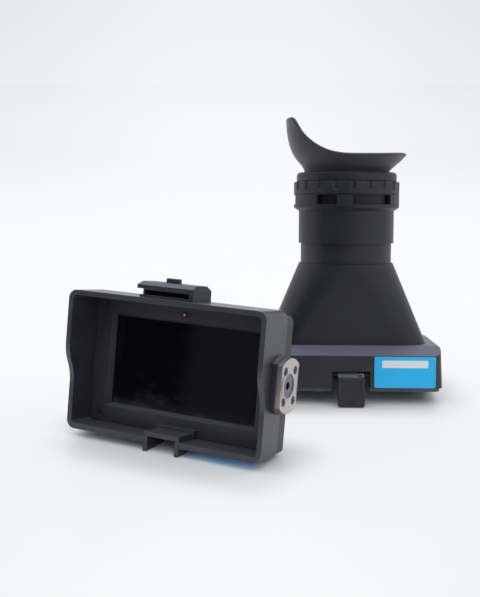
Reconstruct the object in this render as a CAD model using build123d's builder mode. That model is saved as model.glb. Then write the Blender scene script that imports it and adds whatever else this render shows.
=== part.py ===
"""Two-piece electronic viewfinder: a hooded monitor and the magnifying loupe that snaps on to it.

The units are millimetres, with +Z up. The monitor leans back on its underside and the loupe
stands on its wide end behind it. The origin is the centre of the tripod socket's mouth.
"""
import math
import os

from build123d import *

# Sun hood
hood_width = 98.0
hood_height = 62.1
hood_wall = 2.2
hood_floor = 2.6
hood_corner = 4.0
hood_depth_top = 18.6
hood_depth_bottom = 13.8
hood_step_low = 20.0
hood_step_high = 39.0

# Lean of the monitor, and where its frame starts
monitor_lean = 9.74
monitor_y = -9.5
monitor_z = 1.45
underside_start = -6.0

# Rear case
seam_y = 0.8
case_inset = 0.8
case_top = 60.4
case_depth = 9.7
case_wall = 1.7
case_side_wall = 3.9
case_cavity_low = 4.6
case_cavity_high = 58.2
case_edge = 2.2
case_back_drop = 1.6
hump_width = 76.0
hump_top = 52.0
hump_depth = 16.2
hump_wall = 1.5
hump_floor = 5.4
hump_corner = 3.0

# Bezel and its window
bezel_thickness = 2.4
bezel_gap = 0.2
window_width = 76.2
window_low = 10.1
window_high = 52.7
window_bevel = 1.4
bezel_screw_inset = 3.8
bezel_screw_top = 56.4
bezel_screw_low = 6.5
screw_head_r = 1.6
screw_head_length = 0.8
screw_shank_r = 0.9
screw_fit = 0.05
screw_post_r = 2.2
screw_tip_gap = 1.5
screw_cone_share = 0.8
recess_span_share = 1.4
recess_arm_share = 0.3
recess_depth_share = 0.5
recess_round_share = 0.55

# Display stack, from the glass back to the circuit board
glass_margin = 1.5
glass_thickness = 0.9
screen_thickness = 1.4
tray_thickness = 1.6
tray_margin = 1.0
board_gap = 0.3
board_thickness = 1.2
board_side_gap = 0.6
board_low = 10.5
spacer_pitch_x = 60.0
spacer_pitch_z = 30.0
spacer_r = 2.5
board_high = 52.5

# Indicator lamp
lamp_r = 1.5
lamp_flange_r = 1.9
lamp_z = 55.3
lamp_rise = 0.7

# Latch keeper under the hood
latch_x = 1.2
keeper_width = 17.7
keeper_leg = 1.8
keeper_front = 13.9
keeper_roof_low = 2.8
keeper_roof_high = 4.9
keeper_step = 3.5
keeper_plateau_width = 19.4
keeper_plateau_roof = 1.9
keeper_plateau_high = 6.3

# Tripod plate, square to the floor
plate_width = 34.0
plate_front = 5.6
plate_back = 5.6
plate_recess_depth = 0.5
plate_corner = 1.5
socket_r = 2.55
socket_depth = 7.0
insert_wall = 1.45
insert_end = 1.2
plate_screw_x = 12.0
plate_screw_y = 0.8
plate_screw_length = 4.6
plate_screw_head_r = 2.2

# Rosette on the right wall
rosette_y = -2.1
rosette_z = 31.7
rosette_base_r = 12.3
rosette_base_flat = 8.0
rosette_base_thickness = 2.2
rosette_r = 11.5
rosette_flat = 7.6
rosette_thickness = 2.45
rosette_tooth_pitch = 6.0
rosette_teeth_a_side = 15
rosette_tooth_depth = 0.36
rosette_tooth_start = 6.6
rosette_screw_y = 4.4
rosette_screw_z = 6.3
rosette_screw_head_r = 1.9
rosette_screw_r = 0.9
rosette_screw_length = 6.2
rosette_screw_sink = 0.1
rosette_recess_r = 0.45
rosette_recess_depth = 0.6
hub_r = 5.0
hub_recess = 0.8
hub_stem_r = 3.0
hub_stem_gap = 0.2
hub_chamfer = 0.45
hub_socket_r = 1.65
hub_socket_depth = 4.5
turning_gap = 0.05
least_corner = 0.4
cut_past = 1.0

# Accessory shoe on the hood's top
shoe_left = -13.4
shoe_right = 11.6
shoe_flange_left = -15.2
shoe_flange_right = 11.7
shoe_flange_thickness = 0.9
shoe_front = 14.0
shoe_back = 1.0
shoe_slot_left = -12.5
shoe_slot_right = 9.6
shoe_slot_height = 2.2
shoe_roof = 0.4
shoe_lip_left = -16.6
shoe_top_thickness = 3.2
shoe_bevel_width = 1.7
shoe_bevel_height = 1.6
shoe_rear_chamfer = 2.1
shoe_rear_chamfer_length = 4.2
shoe_screw_spread = 6.0
shoe_screw_y = -10.2
shoe_screw_head_r = 1.8

# Release button in the shoe's top
button_x = -2.3
button_y = -7.5
button_size = 7.5
button_rise = 2.0
button_tab_width = 6.5
button_tab_depth = 2.6
button_flush = 0.1
button_gap = 0.1
button_corner = 0.9
button_tab_corner = 0.5
button_round = 0.4
button_travel = 0.8
button_pocket_floor = 0.4
button_cap_height = 1.3
button_pin_r = 1.2
button_pin_reach = 0.8
button_spring_r = 2.2

# Keys, switch and dial on the back
key_count = 4
key_pitch = 11.0
key_first_x = -16.0
key_z = 43.0
key_r = 3.0
key_rise = 1.2
key_flange_r = 3.7
key_flange_thickness = 0.8
key_gap = 0.15
key_travel = 0.7
key_clearance = 0.1
key_round = 0.4
switch_base = 6.0
power_x = -12.0
power_z = 24.0
power_cap_width = 6.0
power_cap_height = 3.0
power_travel = 3.0
power_flange_thickness = 0.9
power_flange_margin = 1.0
power_body_margin = 2.0
power_body_rim = 1.5
power_rise = 1.1
dial_x = 21.0
dial_z = 26.0
dial_r = 8.5
dial_dot_place = 0.62
dial_dot_share = 0.12
dial_dot_depth = 0.4
dial_height = 5.0
dial_gap = 0.3
dial_grooves = 24
dial_groove_r = 0.6
dial_shaft_r = 1.5
dial_base = 9.0

# Sockets in the left side of the hump
video_z = 38.0
video_height = 14.6
video_thickness = 5.0
video_depth = 11.5
video_shell = 0.35
video_tongue = 0.9
power_socket_z = 24.0
power_socket_depth = 9.0
power_socket_pin_r = 0.65
audio_z = 14.0
audio_depth = 14.0
plug_r = 1.75
plug_body = 5.0
socket_gap = 0.1
socket_rim = 0.5
socket_end = 1.0
video_tongue_margin = 2.5

# Plain labels
label_width = 29.8
label_height = 15.3
label_thickness = 0.15
label_corner = 0.8
panel_width = 22.4
panel_height = 3.7
panel_drop = 3.65
panel_thickness = 0.1
loupe_label_left = 12.5
loupe_label_low = 2.0
base_label_left = 13.0
base_label_front = 12.4
base_label_back = 2.5

# Loupe base, in the loupe's own upright frame
base_side_gap = 0.6
base_wall = 2.2
base_corner = 5.0
base_draft = 1.0
seal_height = 1.7
seal_inset = 1.3
seal_width = 2.0
wall_top = 17.6
deck_height = 21.8
deck_ramp = 8.5
deck_thickness = 2.2
deck_edge = 1.2
axis_y = 29.0

# Loupe cone and neck
foot_width = 80.0
foot_depth = 41.0
foot_corner = 13.0
cone_top = 61.7
cone_top_r = 23.8
cone_wall = 2.0
lower_neck_r = 22.9
lower_neck_top = 71.8
neck_r = 24.05
neck_top = 87.9
taper_top = 89.6
neck_relief_gap = 2.0
neck_bore_r = 21.0
barrel_r = 23.2

# Fixed window ring, focus ring and lens cell
window_ring_r = 26.6
window_ring_top = 96.2
window_ring_wall = 1.9
window_sill = 91.2
window_head = 95.9
window_from = 233.0
window_to = 320.0
second_window_from = 165.0
second_window_to = 195.0
focus_ring_top = 102.5
focus_ring_gap = 0.2
focus_sleeve_r = 24.3
focus_sleeve_low = 90.1
focus_grooves = 20
focus_groove_r = 1.8
focus_groove_depth = 0.7
focus_groove_start = 2.6
focus_groove_low = 2.2
focus_groove_run = 0.9
focus_ring_chamfer = 0.4
tab_from = 256.3
tab_to = 272.2
tab_rise = 0.9
tab_gap = 0.1
tab_low = 90.3
wedge_step = 15.0
cell_bore = 18.5
cell_ledge = 1.2
cell_r = 20.7
cell_low = 80.0
cell_high = 98.0
drive_pin_r = 0.9
drive_pin_z = 95.0
lens_low = 83.0
lens_edge = 3.0
lens_gap = 0.1
spacer_height = 5.0
retainer_height = 1.6
field_lens_bulge_low = 2.0
field_lens_bulge_high = 1.6
eye_lens_bulge_low = 1.6
eye_lens_bulge_high = 2.4

# Eyecup and its collar, with the cup's outline and rim as (outwards, up) points
collar_r = 25.2
collar_bore = 21.3
collar_low = 102.8
collar_high = 107.2
collar_ledge = 1.8
collar_ledge_height = 1.2
collar_round = 1.6
cup_wall = 1.7
cup_foot_wall = 2.2
cup_gap = 0.3
cup_outer_points = ((24.0, 111.0), (27.8, 115.5), (29.6, 119.2), (30.5, 124.0), (31.0, 134.2))
cup_rim_points = (
    (-27.9, 134.2),
    (-24.2, 126.9),
    (-20.3, 122.6),
    (-15.9, 119.3),
    (-10.6, 116.8),
    (-4.7, 115.4),
    (1.2, 115.1),
    (14.0, 115.2),
    (22.0, 115.5),
    (31.0, 116.4),
)

# Latch clip on the loupe
clip_width = 12.9
clip_front = 3.9
clip_thickness = 3.0
clip_drop = 6.95
clip_top = 7.5
clip_corner = 0.8
clip_panel_width = 9.6
clip_panel_low = 0.3
clip_panel_high = 6.1
clip_panel_depth = 0.5
clip_notch_width = 3.0
clip_notch_low = -6.2
clip_notch_high = -3.8
clip_tooth_low = -3.2
clip_tooth_high = -0.4
clip_tooth_rise = 2.0
clip_tooth_share = 0.4
clip_relief_gap = 0.3
clip_relief_high = 2.4
notch_width = 18.5
notch_height = 9.9
latch_pin_z = 8.0
latch_pin_y = 2.6
latch_pin_r = 0.75
hub_wall_r = 1.5
latch_ear = 2.0
latch_spring_r = 1.4
spring_length = 3.0

# Hook on the loupe's back
hook_width = 21.3
hook_thickness = 1.8
hook_head_share = 0.7
hook_screw_share = 0.9
hook_foot = 15.6
hook_top = 21.2
blade_low = 1.5
hook_screw_spread = 7.0
hook_screw_z = 17.2

# How the loupe seats in the hood: its gaps to the hood's floor, the keeper and the shoe's slot
seat_gap = 0.3
seat_end_gap = 0.1
blade_gap = 0.2

# Where the loupe stands, seen from above, behind the monitor
loupe_x = 44.3
loupe_behind = 87.86
loupe_yaw = 27.33

# Worked-out places
monitor_pose = Location((0, monitor_y, monitor_z), (-monitor_lean, 0, 0))
floor_plane = Plane(monitor_pose.inverse())
lean_slope = math.tan(math.radians(monitor_lean))
underside_height = monitor_z + abs(underside_start) * math.sin(math.radians(monitor_lean))
floor_rise = -monitor_z / math.cos(math.radians(monitor_lean))
clip_back = -clip_front + clip_thickness
case_cavity_width = hood_width - 2 * case_side_wall
bezel_screw_x = case_cavity_width / 2 - bezel_screw_inset
board_width = case_cavity_width - 2 * board_side_gap
base_width = hood_width - 2 * (hood_wall + base_side_gap)
base_depth = hood_height - hood_wall - hood_floor - 2 * seat_gap
seal_back = base_depth - seal_inset
loupe_lean = math.degrees(math.atan2(clip_drop, seal_back - clip_back))
loupe_z = seal_back * math.sin(math.radians(loupe_lean))
loupe_pose = Location((loupe_x, monitor_y + loupe_behind, loupe_z), (0, 0, loupe_yaw)) * Location(
    (0, 0, 0), (-loupe_lean, 0, 0)
)
case_width = hood_width - 2 * case_inset
shoe_slot_mid = (shoe_slot_left + shoe_slot_right) / 2
shoe_screw_places = (
    (shoe_slot_mid - shoe_screw_spread, shoe_screw_y),
    (shoe_slot_mid + shoe_screw_spread, shoe_screw_y),
)
shoe_screw_length = shoe_flange_thickness + 0.8 * hood_wall
hook_x = shoe_slot_mid
blade_y = hood_height + shoe_flange_thickness + blade_gap - hood_floor - seat_gap
blade_hole_z = -button_y - keeper_step - seat_end_gap
clip_relief_end = clip_drop - keeper_step - seat_end_gap + clip_relief_gap
channel_width = keeper_width - 2 * keeper_leg
hook_screw_places = (
    (hook_x - hook_screw_spread, hook_screw_z), (hook_x + hook_screw_spread, hook_screw_z)
)
window_mid = (window_low + window_high) / 2
window_height = window_high - window_low
glass_width = window_width - 2 * window_bevel + 2 * glass_margin
glass_height = window_height - 2 * window_bevel + 2 * glass_margin
glass_y = bezel_thickness
panel_y = glass_y + glass_thickness
tray_y = panel_y + screen_thickness
tray_back = tray_y + tray_thickness
board_y = tray_back + board_gap
board_back = board_y + board_thickness
hump_inner_back = hump_depth - hump_wall
socket_y = hump_inner_back - socket_gap - plug_body / 2
socket_body_depth = hump_inner_back - socket_gap - board_back
socket_body_y = board_back + socket_body_depth / 2
shoe_base = hood_height + shoe_flange_thickness
shoe_body_top = shoe_base + shoe_slot_height + shoe_roof
shoe_top = shoe_body_top + shoe_top_thickness
rosette_plane = Plane(
    origin=(hood_width / 2, rosette_y, rosette_z), x_dir=(0, 1, 0), z_dir=(1, 0, 0)
)
hub_face = rosette_base_thickness + rosette_thickness - hub_recess


def underside(y):
    """Height of the monitor's underside, in its own frame, at a depth behind the bezel."""
    return max(0.0, lean_slope * (y - underside_start))


def floor_line(y):
    """Height of the floor in the monitor's frame, at a depth behind the bezel."""
    return floor_rise + lean_slope * y


def save(piece, label, pose):
    """Puts a finished piece where its unit stands, names it and writes it."""
    placed = piece.part.moved(pose)
    placed.label = label
    export_step(placed, f"parts/{label}.step")


os.makedirs("parts", exist_ok=True)

# Sun hood, cut in side view so that its front edge steps forward above the middle
hood_inner_width = hood_width - 2 * hood_wall
hood_inner_height = hood_height - hood_wall - hood_floor
hood_inner_mid = hood_floor + hood_inner_height / 2
hood_inner_corner = max(hood_corner - hood_wall, least_corner)
with BuildPart() as sun_hood:
    with BuildSketch(Plane.XZ.offset(-seam_y)):
        with Locations((0, hood_height / 2)):
            RectangleRounded(hood_width, hood_height, hood_corner)
        with Locations((0, hood_inner_mid)):
            RectangleRounded(
                hood_inner_width, hood_inner_height, hood_inner_corner, mode=Mode.SUBTRACT
            )
    extrude(amount=seam_y + hood_depth_top)
    step_mid = (hood_step_low + hood_step_high) / 2
    with BuildSketch(Plane.YZ):
        with BuildLine():
            Polyline(
                (-hood_depth_top, hood_step_high),
                (-hood_depth_top, hood_height),
                (seam_y, hood_height),
                (seam_y, underside(seam_y)),
                (underside_start, 0),
                (-hood_depth_bottom, 0),
                (-hood_depth_bottom, hood_step_low),
            )
            Bezier(
                (-hood_depth_bottom, hood_step_low),
                (-hood_depth_bottom, step_mid),
                (-hood_depth_top, step_mid),
                (-hood_depth_top, hood_step_high),
            )
        make_face()
    extrude(amount=hood_width, both=True, mode=Mode.INTERSECT)
    # Gap for the latch keeper, and the rosette's stem and front screws
    with BuildSketch(Plane.XY):
        with Locations((latch_x, -hood_depth_bottom / 2)):
            Rectangle(keeper_width, hood_depth_bottom)
    extrude(amount=hood_floor, mode=Mode.SUBTRACT)
    with BuildSketch(Plane.XY):
        with Locations((latch_x, clip_relief_end / 2)):
            Rectangle(channel_width, clip_relief_end)
    extrude(amount=clip_relief_high, mode=Mode.SUBTRACT)
    with BuildSketch(rosette_plane):
        Circle(hub_stem_r)
    extrude(amount=-hood_wall, mode=Mode.SUBTRACT)
    with BuildSketch(rosette_plane):
        with Locations(
            (-rosette_screw_y, -rosette_screw_z), (-rosette_screw_y, rosette_screw_z)
        ):
            Circle(rosette_screw_r + screw_fit)
    extrude(amount=-hood_wall, mode=Mode.SUBTRACT)
    with BuildSketch(Plane.XY.offset(shoe_base)):
        with Locations(*shoe_screw_places):
            Circle(screw_shank_r + screw_fit)
    extrude(amount=-shoe_screw_length, mode=Mode.SUBTRACT)
    # Two cheeks, a roof and a floor, which meet in flat joints
    cheek_joint = hood_width / 2 - hood_wall - hood_inner_corner
    split(bisect_by=Plane.YZ.offset(cheek_joint), keep=Keep.BOTH)
    split(bisect_by=Plane.YZ.offset(-cheek_joint), keep=Keep.BOTH)
save(sun_hood, "sun_hood", monitor_pose)

# Screen bezel with a sloped window edge, a rear rib inside the case and four screw holes
bezel_screw_places = [
    (side * bezel_screw_x, height)
    for side in (-1, 1)
    for height in (bezel_screw_low, bezel_screw_top)
]
with BuildPart() as screen_bezel:
    with BuildSketch(Plane.XZ):
        with Locations((0, hood_inner_mid)):
            RectangleRounded(
                hood_inner_width - 2 * bezel_gap,
                hood_inner_height - 2 * bezel_gap,
                hood_inner_corner,
            )
    extrude(amount=-seam_y)
    with BuildSketch(Plane.XZ.offset(-seam_y)):
        with Locations((0, (case_cavity_low + case_cavity_high) / 2)):
            Rectangle(
                case_cavity_width - 2 * bezel_gap,
                case_cavity_high - case_cavity_low - 2 * bezel_gap,
            )
    extrude(amount=seam_y - bezel_thickness)
    for depth, inset in ((0, 0), (bezel_thickness, window_bevel)):
        with BuildSketch(Plane.XZ.offset(-depth)):
            with Locations((0, window_mid)):
                Rectangle(window_width - 2 * inset, window_height - 2 * inset)
    loft(mode=Mode.SUBTRACT)
    with BuildSketch(Plane.XZ):
        with Locations(*bezel_screw_places):
            Circle(screw_head_r + 2 * screw_fit)
    extrude(amount=-screw_head_length, mode=Mode.SUBTRACT)
    with BuildSketch(Plane.XZ):
        with Locations(*bezel_screw_places):
            Circle(screw_shank_r + screw_fit)
        with Locations((0, lamp_z)):
            Circle(lamp_r + screw_fit)
    extrude(amount=-bezel_thickness, mode=Mode.SUBTRACT)
save(screen_bezel, "screen_bezel", monitor_pose)

# Bezel screws, with a cross slot in each head
bezel_screw_length = case_depth - case_wall - screw_tip_gap
with BuildPart() as bezel_screws:
    with BuildSketch(Plane.XZ.offset(-screw_head_length)):
        with Locations(*bezel_screw_places):
            Circle(screw_head_r)
    extrude(amount=screw_cone_share * screw_head_length)
    with BuildSketch(Plane.XZ.offset(-screw_head_length)):
        with Locations(*bezel_screw_places):
            Circle(screw_shank_r)
    extrude(amount=screw_head_length - bezel_screw_length)
    with BuildSketch(Plane.XZ.offset(-0.2 * screw_head_length)):
        with Locations(*bezel_screw_places):
            Rectangle(recess_span_share * screw_head_r, recess_arm_share * screw_head_r)
            Rectangle(recess_arm_share * screw_head_r, recess_span_share * screw_head_r)
    extrude(amount=-recess_depth_share * screw_head_length, mode=Mode.SUBTRACT)
save(bezel_screws, "bezel_screws", monitor_pose)

# Display stack: cover glass, panel and light tray
stack = (
    ("display_glass", glass_y, glass_thickness, 0),
    ("lcd_panel", panel_y, screen_thickness, 0),
    ("backlight_tray", tray_y, tray_thickness, tray_margin),
)
for stack_name, stack_y, thickness, margin in stack:
    with BuildPart() as sheet:
        with BuildSketch(Plane.XZ.offset(-stack_y)):
            with Locations((0, window_mid)):
                Rectangle(glass_width + 2 * margin, glass_height + 2 * margin)
        extrude(amount=-thickness)
    save(sheet, stack_name, monitor_pose)

# Indicator lamp: a domed lens with a flange behind the bezel
with BuildPart() as tally_lamp:
    with BuildSketch(Plane.XZ):
        with Locations((0, lamp_z)):
            Circle(lamp_r)
    extrude(amount=-bezel_thickness)
    with BuildSketch(Plane.XZ.offset(-bezel_thickness)):
        with Locations((0, lamp_z)):
            Circle(lamp_flange_r)
    extrude(amount=-glass_thickness)
    with BuildSketch(Plane.XZ):
        with Locations((0, lamp_z)):
            Circle(lamp_r)
    extrude(amount=lamp_rise, taper=35)
save(tally_lamp, "tally_lamp", monitor_pose)

# Rear case: a shallow box with a deeper hump in the middle and screw posts inside
with BuildPart() as rear_case:
    with BuildSketch(Plane.XZ.offset(-seam_y)):
        with Locations((0, case_top / 2)):
            RectangleRounded(case_width, case_top, hood_corner)
    extrude(amount=seam_y - case_depth)
    fillet(rear_case.faces().sort_by(Axis.Y)[-1].edges(), case_edge)
    with BuildSketch(Plane.XZ.offset(-seam_y)):
        with Locations((0, hump_top / 2)):
            RectangleRounded(hump_width, hump_top, hump_corner)
    extrude(amount=seam_y - hump_depth)
    fillet(rear_case.faces().sort_by(Axis.Y)[-1].edges(), case_edge / 2)
    with BuildSketch(Plane.YZ):
        with BuildLine():
            Polyline(
                (seam_y, underside(seam_y)),
                (hump_depth, underside(hump_depth)),
                (hump_depth, case_top - case_back_drop),
                (seam_y, case_top),
                close=True,
            )
        make_face()
    extrude(amount=hood_width, both=True, mode=Mode.INTERSECT)
    # Cavities for the display and for the board's parts
    with BuildSketch(Plane.XZ.offset(-seam_y)):
        with Locations((0, (case_cavity_low + case_cavity_high) / 2)):
            Rectangle(case_cavity_width, case_cavity_high - case_cavity_low)
    extrude(amount=seam_y - case_depth + case_wall, mode=Mode.SUBTRACT)
    with BuildSketch(Plane.XZ.offset(-seam_y)):
        with Locations((0, (hump_floor + hump_top - hump_wall) / 2)):
            Rectangle(hump_width - 2 * hump_wall, hump_top - hump_wall - hump_floor)
    extrude(amount=seam_y - hump_inner_back, mode=Mode.SUBTRACT)
    # Screw posts behind the bezel
    with BuildSketch(Plane.XZ.offset(-bezel_thickness)):
        with Locations(*bezel_screw_places):
            Circle(screw_post_r)
            Circle(screw_shank_r + screw_fit, mode=Mode.SUBTRACT)
    extrude(amount=bezel_thickness - case_depth + case_wall)
    # Openings for the keys, the switch, the dial shaft and the three sockets
    with BuildSketch(Plane.XZ.offset(-hump_depth)):
        with Locations(*[(key_first_x + i * key_pitch, key_z) for i in range(key_count)]):
            Circle(key_r + key_gap)
        with Locations((power_x + power_travel / 2, power_z)):
            Rectangle(
                power_cap_width + power_travel + 2 * key_gap, power_cap_height + 2 * key_gap
            )
        with Locations((dial_x, dial_z)):
            Circle(dial_shaft_r + dial_gap)
    extrude(amount=hump_wall, mode=Mode.SUBTRACT)
    with BuildSketch(Plane.YZ.offset(-hump_width / 2)):
        with Locations((socket_y, video_z)):
            Rectangle(video_thickness, video_height)
        with Locations((socket_y, power_socket_z), (socket_y, audio_z)):
            Circle(plug_r)
    extrude(amount=hump_wall, mode=Mode.SUBTRACT)
    # Relief for the clip's end, under the front edge
    with BuildSketch(Plane.XY):
        with Locations((latch_x, clip_relief_end / 2)):
            Rectangle(channel_width, clip_relief_end)
    extrude(amount=clip_relief_high, mode=Mode.SUBTRACT)
    # Tripod insert and plate screws, square to the floor
    with BuildSketch(floor_plane):
        Circle(socket_r + insert_wall)
        with Locations((-plate_screw_x, plate_screw_y), (plate_screw_x, plate_screw_y)):
            Circle(screw_shank_r + screw_fit)
    extrude(amount=socket_depth + insert_end, mode=Mode.SUBTRACT)
    # Rear screws of the rosette
    with BuildSketch(rosette_plane):
        with Locations(
            (rosette_screw_y, -rosette_screw_z), (rosette_screw_y, rosette_screw_z)
        ):
            Circle(rosette_screw_r + screw_fit)
    extrude(amount=-hood_wall - case_inset, mode=Mode.SUBTRACT)
save(rear_case, "rear_case", monitor_pose)

# Circuit board and what is soldered on its back
with BuildPart() as main_board:
    with BuildSketch(Plane.XZ.offset(-board_y)):
        with Locations((0, (board_low + board_high) / 2)):
            Rectangle(board_width, board_high - board_low)
    extrude(amount=-board_thickness)
save(main_board, "main_board", monitor_pose)

with BuildPart() as board_spacers:
    with BuildSketch(Plane.XZ.offset(-tray_back)):
        with GridLocations(spacer_pitch_x, spacer_pitch_z, 2, 2):
            with Locations((0, window_mid)):
                Circle(spacer_r)
    extrude(amount=-board_gap)
save(board_spacers, "board_spacers", monitor_pose)

chip_places = ((2.0, 27.0, 9.0, 1.6), (-12.0, 34.0, 7.0, 1.2), (30.0, 40.0, 7.0, 2.2))
with BuildPart() as board_chips:
    for chip_x, chip_z, chip_side, chip_height in chip_places:
        with BuildSketch(Plane.XZ.offset(-board_back)):
            with Locations((chip_x, chip_z)):
                Rectangle(chip_side, chip_side)
        extrude(amount=-chip_height)
save(board_chips, "board_chips", monitor_pose)

# Push switches under the keys
key_places = [(key_first_x + i * key_pitch, key_z) for i in range(key_count)]
key_flange_front = hump_inner_back - key_clearance - key_flange_thickness
with BuildPart() as key_switches:
    with BuildSketch(Plane.XZ.offset(-board_back)):
        with Locations(*key_places):
            Rectangle(switch_base, switch_base)
    extrude(amount=-(key_flange_front - key_travel - key_clearance - board_back))
save(key_switches, "key_switches", monitor_pose)

# Keys, each a cap with a flange that stays behind the wall
for i, (key_x, key_height) in enumerate(key_places):
    with BuildPart() as key_cap:
        with BuildSketch(Plane.XZ.offset(-key_flange_front)):
            with Locations((key_x, key_height)):
                Circle(key_flange_r)
        extrude(amount=-key_flange_thickness)
        with BuildSketch(Plane.XZ.offset(-key_flange_front)):
            with Locations((key_x, key_height)):
                Circle(key_r)
        extrude(amount=key_flange_front - hump_depth - key_rise)
        fillet(key_cap.faces().sort_by(Axis.Y)[-1].edges(), key_round)
    save(key_cap, f"key_{i + 1}", monitor_pose)

# Power switch: a housing on the board and a ridged cap that slides along its slot
power_flange_front = hump_inner_back - key_clearance - power_flange_thickness
with BuildPart() as power_switch_body:
    with BuildSketch(Plane.XZ.offset(-board_back)):
        with Locations((power_x + power_travel / 2, power_z)):
            Rectangle(
                power_cap_width + power_travel + 2 * power_body_margin,
                power_cap_height + 2 * power_body_rim,
            )
    extrude(amount=-(power_flange_front - key_clearance - board_back))
save(power_switch_body, "power_switch_body", monitor_pose)

with BuildPart() as power_slider:
    with BuildSketch(Plane.XZ.offset(-power_flange_front)):
        with Locations((power_x, power_z)):
            Rectangle(
                power_cap_width + 2 * power_flange_margin,
                power_cap_height + 2 * power_flange_margin,
            )
    extrude(amount=-power_flange_thickness)
    with BuildSketch(Plane.XZ.offset(-power_flange_front)):
        with Locations((power_x, power_z)):
            Rectangle(power_cap_width, power_cap_height)
    extrude(amount=power_flange_front - hump_depth - power_rise)
    with BuildSketch(Plane.XZ.offset(-hump_depth - power_rise)):
        with Locations((power_x, power_z)):
            with GridLocations(power_cap_width / 4, 0, 3, 1):
                Rectangle(power_cap_width / 10, power_cap_height)
    extrude(amount=power_rise / 3, mode=Mode.SUBTRACT)
save(power_slider, "power_slider", monitor_pose)

# Menu dial on the shaft of its encoder
dial_face = hump_depth + dial_gap
with BuildPart() as dial_encoder:
    with BuildSketch(Plane.XZ.offset(-board_back)):
        with Locations((dial_x, dial_z)):
            Rectangle(dial_base, dial_base)
            Circle(dial_shaft_r + turning_gap, mode=Mode.SUBTRACT)
    extrude(amount=-(hump_inner_back - key_clearance - board_back))
save(dial_encoder, "dial_encoder", monitor_pose)

with BuildPart() as menu_dial:
    with BuildSketch(Plane.XZ.offset(-dial_face)):
        with Locations((dial_x, dial_z)):
            Circle(dial_r)
            with PolarLocations(dial_r, dial_grooves):
                Circle(dial_groove_r, mode=Mode.SUBTRACT)
    extrude(amount=-dial_height)
    with BuildSketch(Plane.XZ.offset(-dial_face)):
        with Locations((dial_x, dial_z)):
            Circle(dial_shaft_r)
    extrude(amount=dial_face - board_back - dial_gap)
    with BuildSketch(Plane.XZ.offset(-dial_face - dial_height)):
        with Locations((dial_x, dial_z + dial_dot_place * dial_r)):
            Circle(dial_dot_share * dial_r)
    extrude(amount=dial_dot_depth, mode=Mode.SUBTRACT)
save(menu_dial, "menu_dial", monitor_pose)

# Video socket: a thin metal shell round a contact tongue
with BuildPart() as video_socket:
    with BuildSketch(Plane.YZ.offset(-hump_width / 2)):
        with Locations((socket_y, video_z)):
            Rectangle(video_thickness, video_height)
            Rectangle(
                video_thickness - 2 * video_shell,
                video_height - 2 * video_shell,
                mode=Mode.SUBTRACT,
            )
            Rectangle(video_tongue, video_height - 2 * video_tongue_margin)
    extrude(amount=video_depth)
    with BuildSketch(Plane.YZ.offset(video_depth - hump_width / 2)):
        with Locations((socket_body_y, video_z)):
            Rectangle(socket_body_depth, video_height)
    extrude(amount=socket_end)
save(video_socket, "video_socket", monitor_pose)

# Round sockets for power and sound
with BuildPart() as power_socket:
    with BuildSketch(Plane.YZ.offset(hump_wall - hump_width / 2)):
        with Locations((socket_body_y, power_socket_z)):
            Rectangle(socket_body_depth, plug_body + 2 * socket_rim)
        with Locations((socket_y, power_socket_z)):
            Circle(plug_r, mode=Mode.SUBTRACT)
            Circle(power_socket_pin_r)
    extrude(amount=power_socket_depth)
    with BuildSketch(Plane.YZ.offset(power_socket_depth + hump_wall - hump_width / 2)):
        with Locations((socket_body_y, power_socket_z)):
            Rectangle(socket_body_depth, plug_body + 2 * socket_rim)
    extrude(amount=socket_end)
save(power_socket, "power_socket", monitor_pose)

with BuildPart() as audio_socket:
    with BuildSketch(Plane.YZ.offset(hump_wall - hump_width / 2)):
        with Locations((socket_body_y, audio_z)):
            Rectangle(socket_body_depth, plug_body + 2 * socket_rim)
        with Locations((socket_y, audio_z)):
            Circle(plug_r, mode=Mode.SUBTRACT)
    extrude(amount=audio_depth - hump_wall)
save(audio_socket, "audio_socket", monitor_pose)

# Latch keeper: a roofed channel between two runners that reach the floor
keeper_plateau_inner = keeper_plateau_high - keeper_plateau_roof
with BuildPart() as latch_keeper:
    with BuildSketch(Plane.YZ.offset(latch_x)):
        with BuildLine():
            Polyline(
                (-keeper_front, floor_line(-keeper_front)),
                (0, floor_line(0)),
                (0, keeper_roof_high),
                (-keeper_front, keeper_roof_high),
                close=True,
            )
        make_face()
    extrude(amount=keeper_width / 2, both=True)
    with BuildSketch(Plane.YZ.offset(latch_x)):
        with Locations((-keeper_step / 2, (hood_floor + keeper_plateau_high) / 2)):
            Rectangle(keeper_step, keeper_plateau_high - hood_floor)
    extrude(amount=keeper_plateau_width / 2, both=True)
    with BuildSketch(Plane.YZ.offset(latch_x)):
        with BuildLine():
            Polyline(
                (-keeper_front, floor_line(-keeper_front)),
                (0, floor_line(0)),
                (0, keeper_plateau_inner),
                (-keeper_step, keeper_plateau_inner),
                (-keeper_step, keeper_roof_low),
                (-keeper_front, keeper_roof_low),
                close=True,
            )
        make_face()
    extrude(amount=channel_width / 2, both=True, mode=Mode.SUBTRACT)
save(latch_keeper, "latch_keeper", monitor_pose)

# Tripod plate, flat on the floor, with its threaded insert and two screws
screw_places = ((-plate_screw_x, plate_screw_y), (plate_screw_x, plate_screw_y))
with BuildPart() as tripod_plate:
    with BuildSketch():
        with Locations((0, (plate_back - plate_front) / 2)):
            RectangleRounded(plate_width, plate_back + plate_front, plate_corner)
        Circle(socket_r + insert_wall, mode=Mode.SUBTRACT)
    extrude(amount=underside_height)
    with Locations(*[Location((x, y, 0), (180, 0, 0)) for x, y in screw_places]):
        CounterSinkHole(screw_shank_r + screw_fit, plate_screw_head_r, underside_height)
save(tripod_plate, "tripod_plate", Location())

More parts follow.
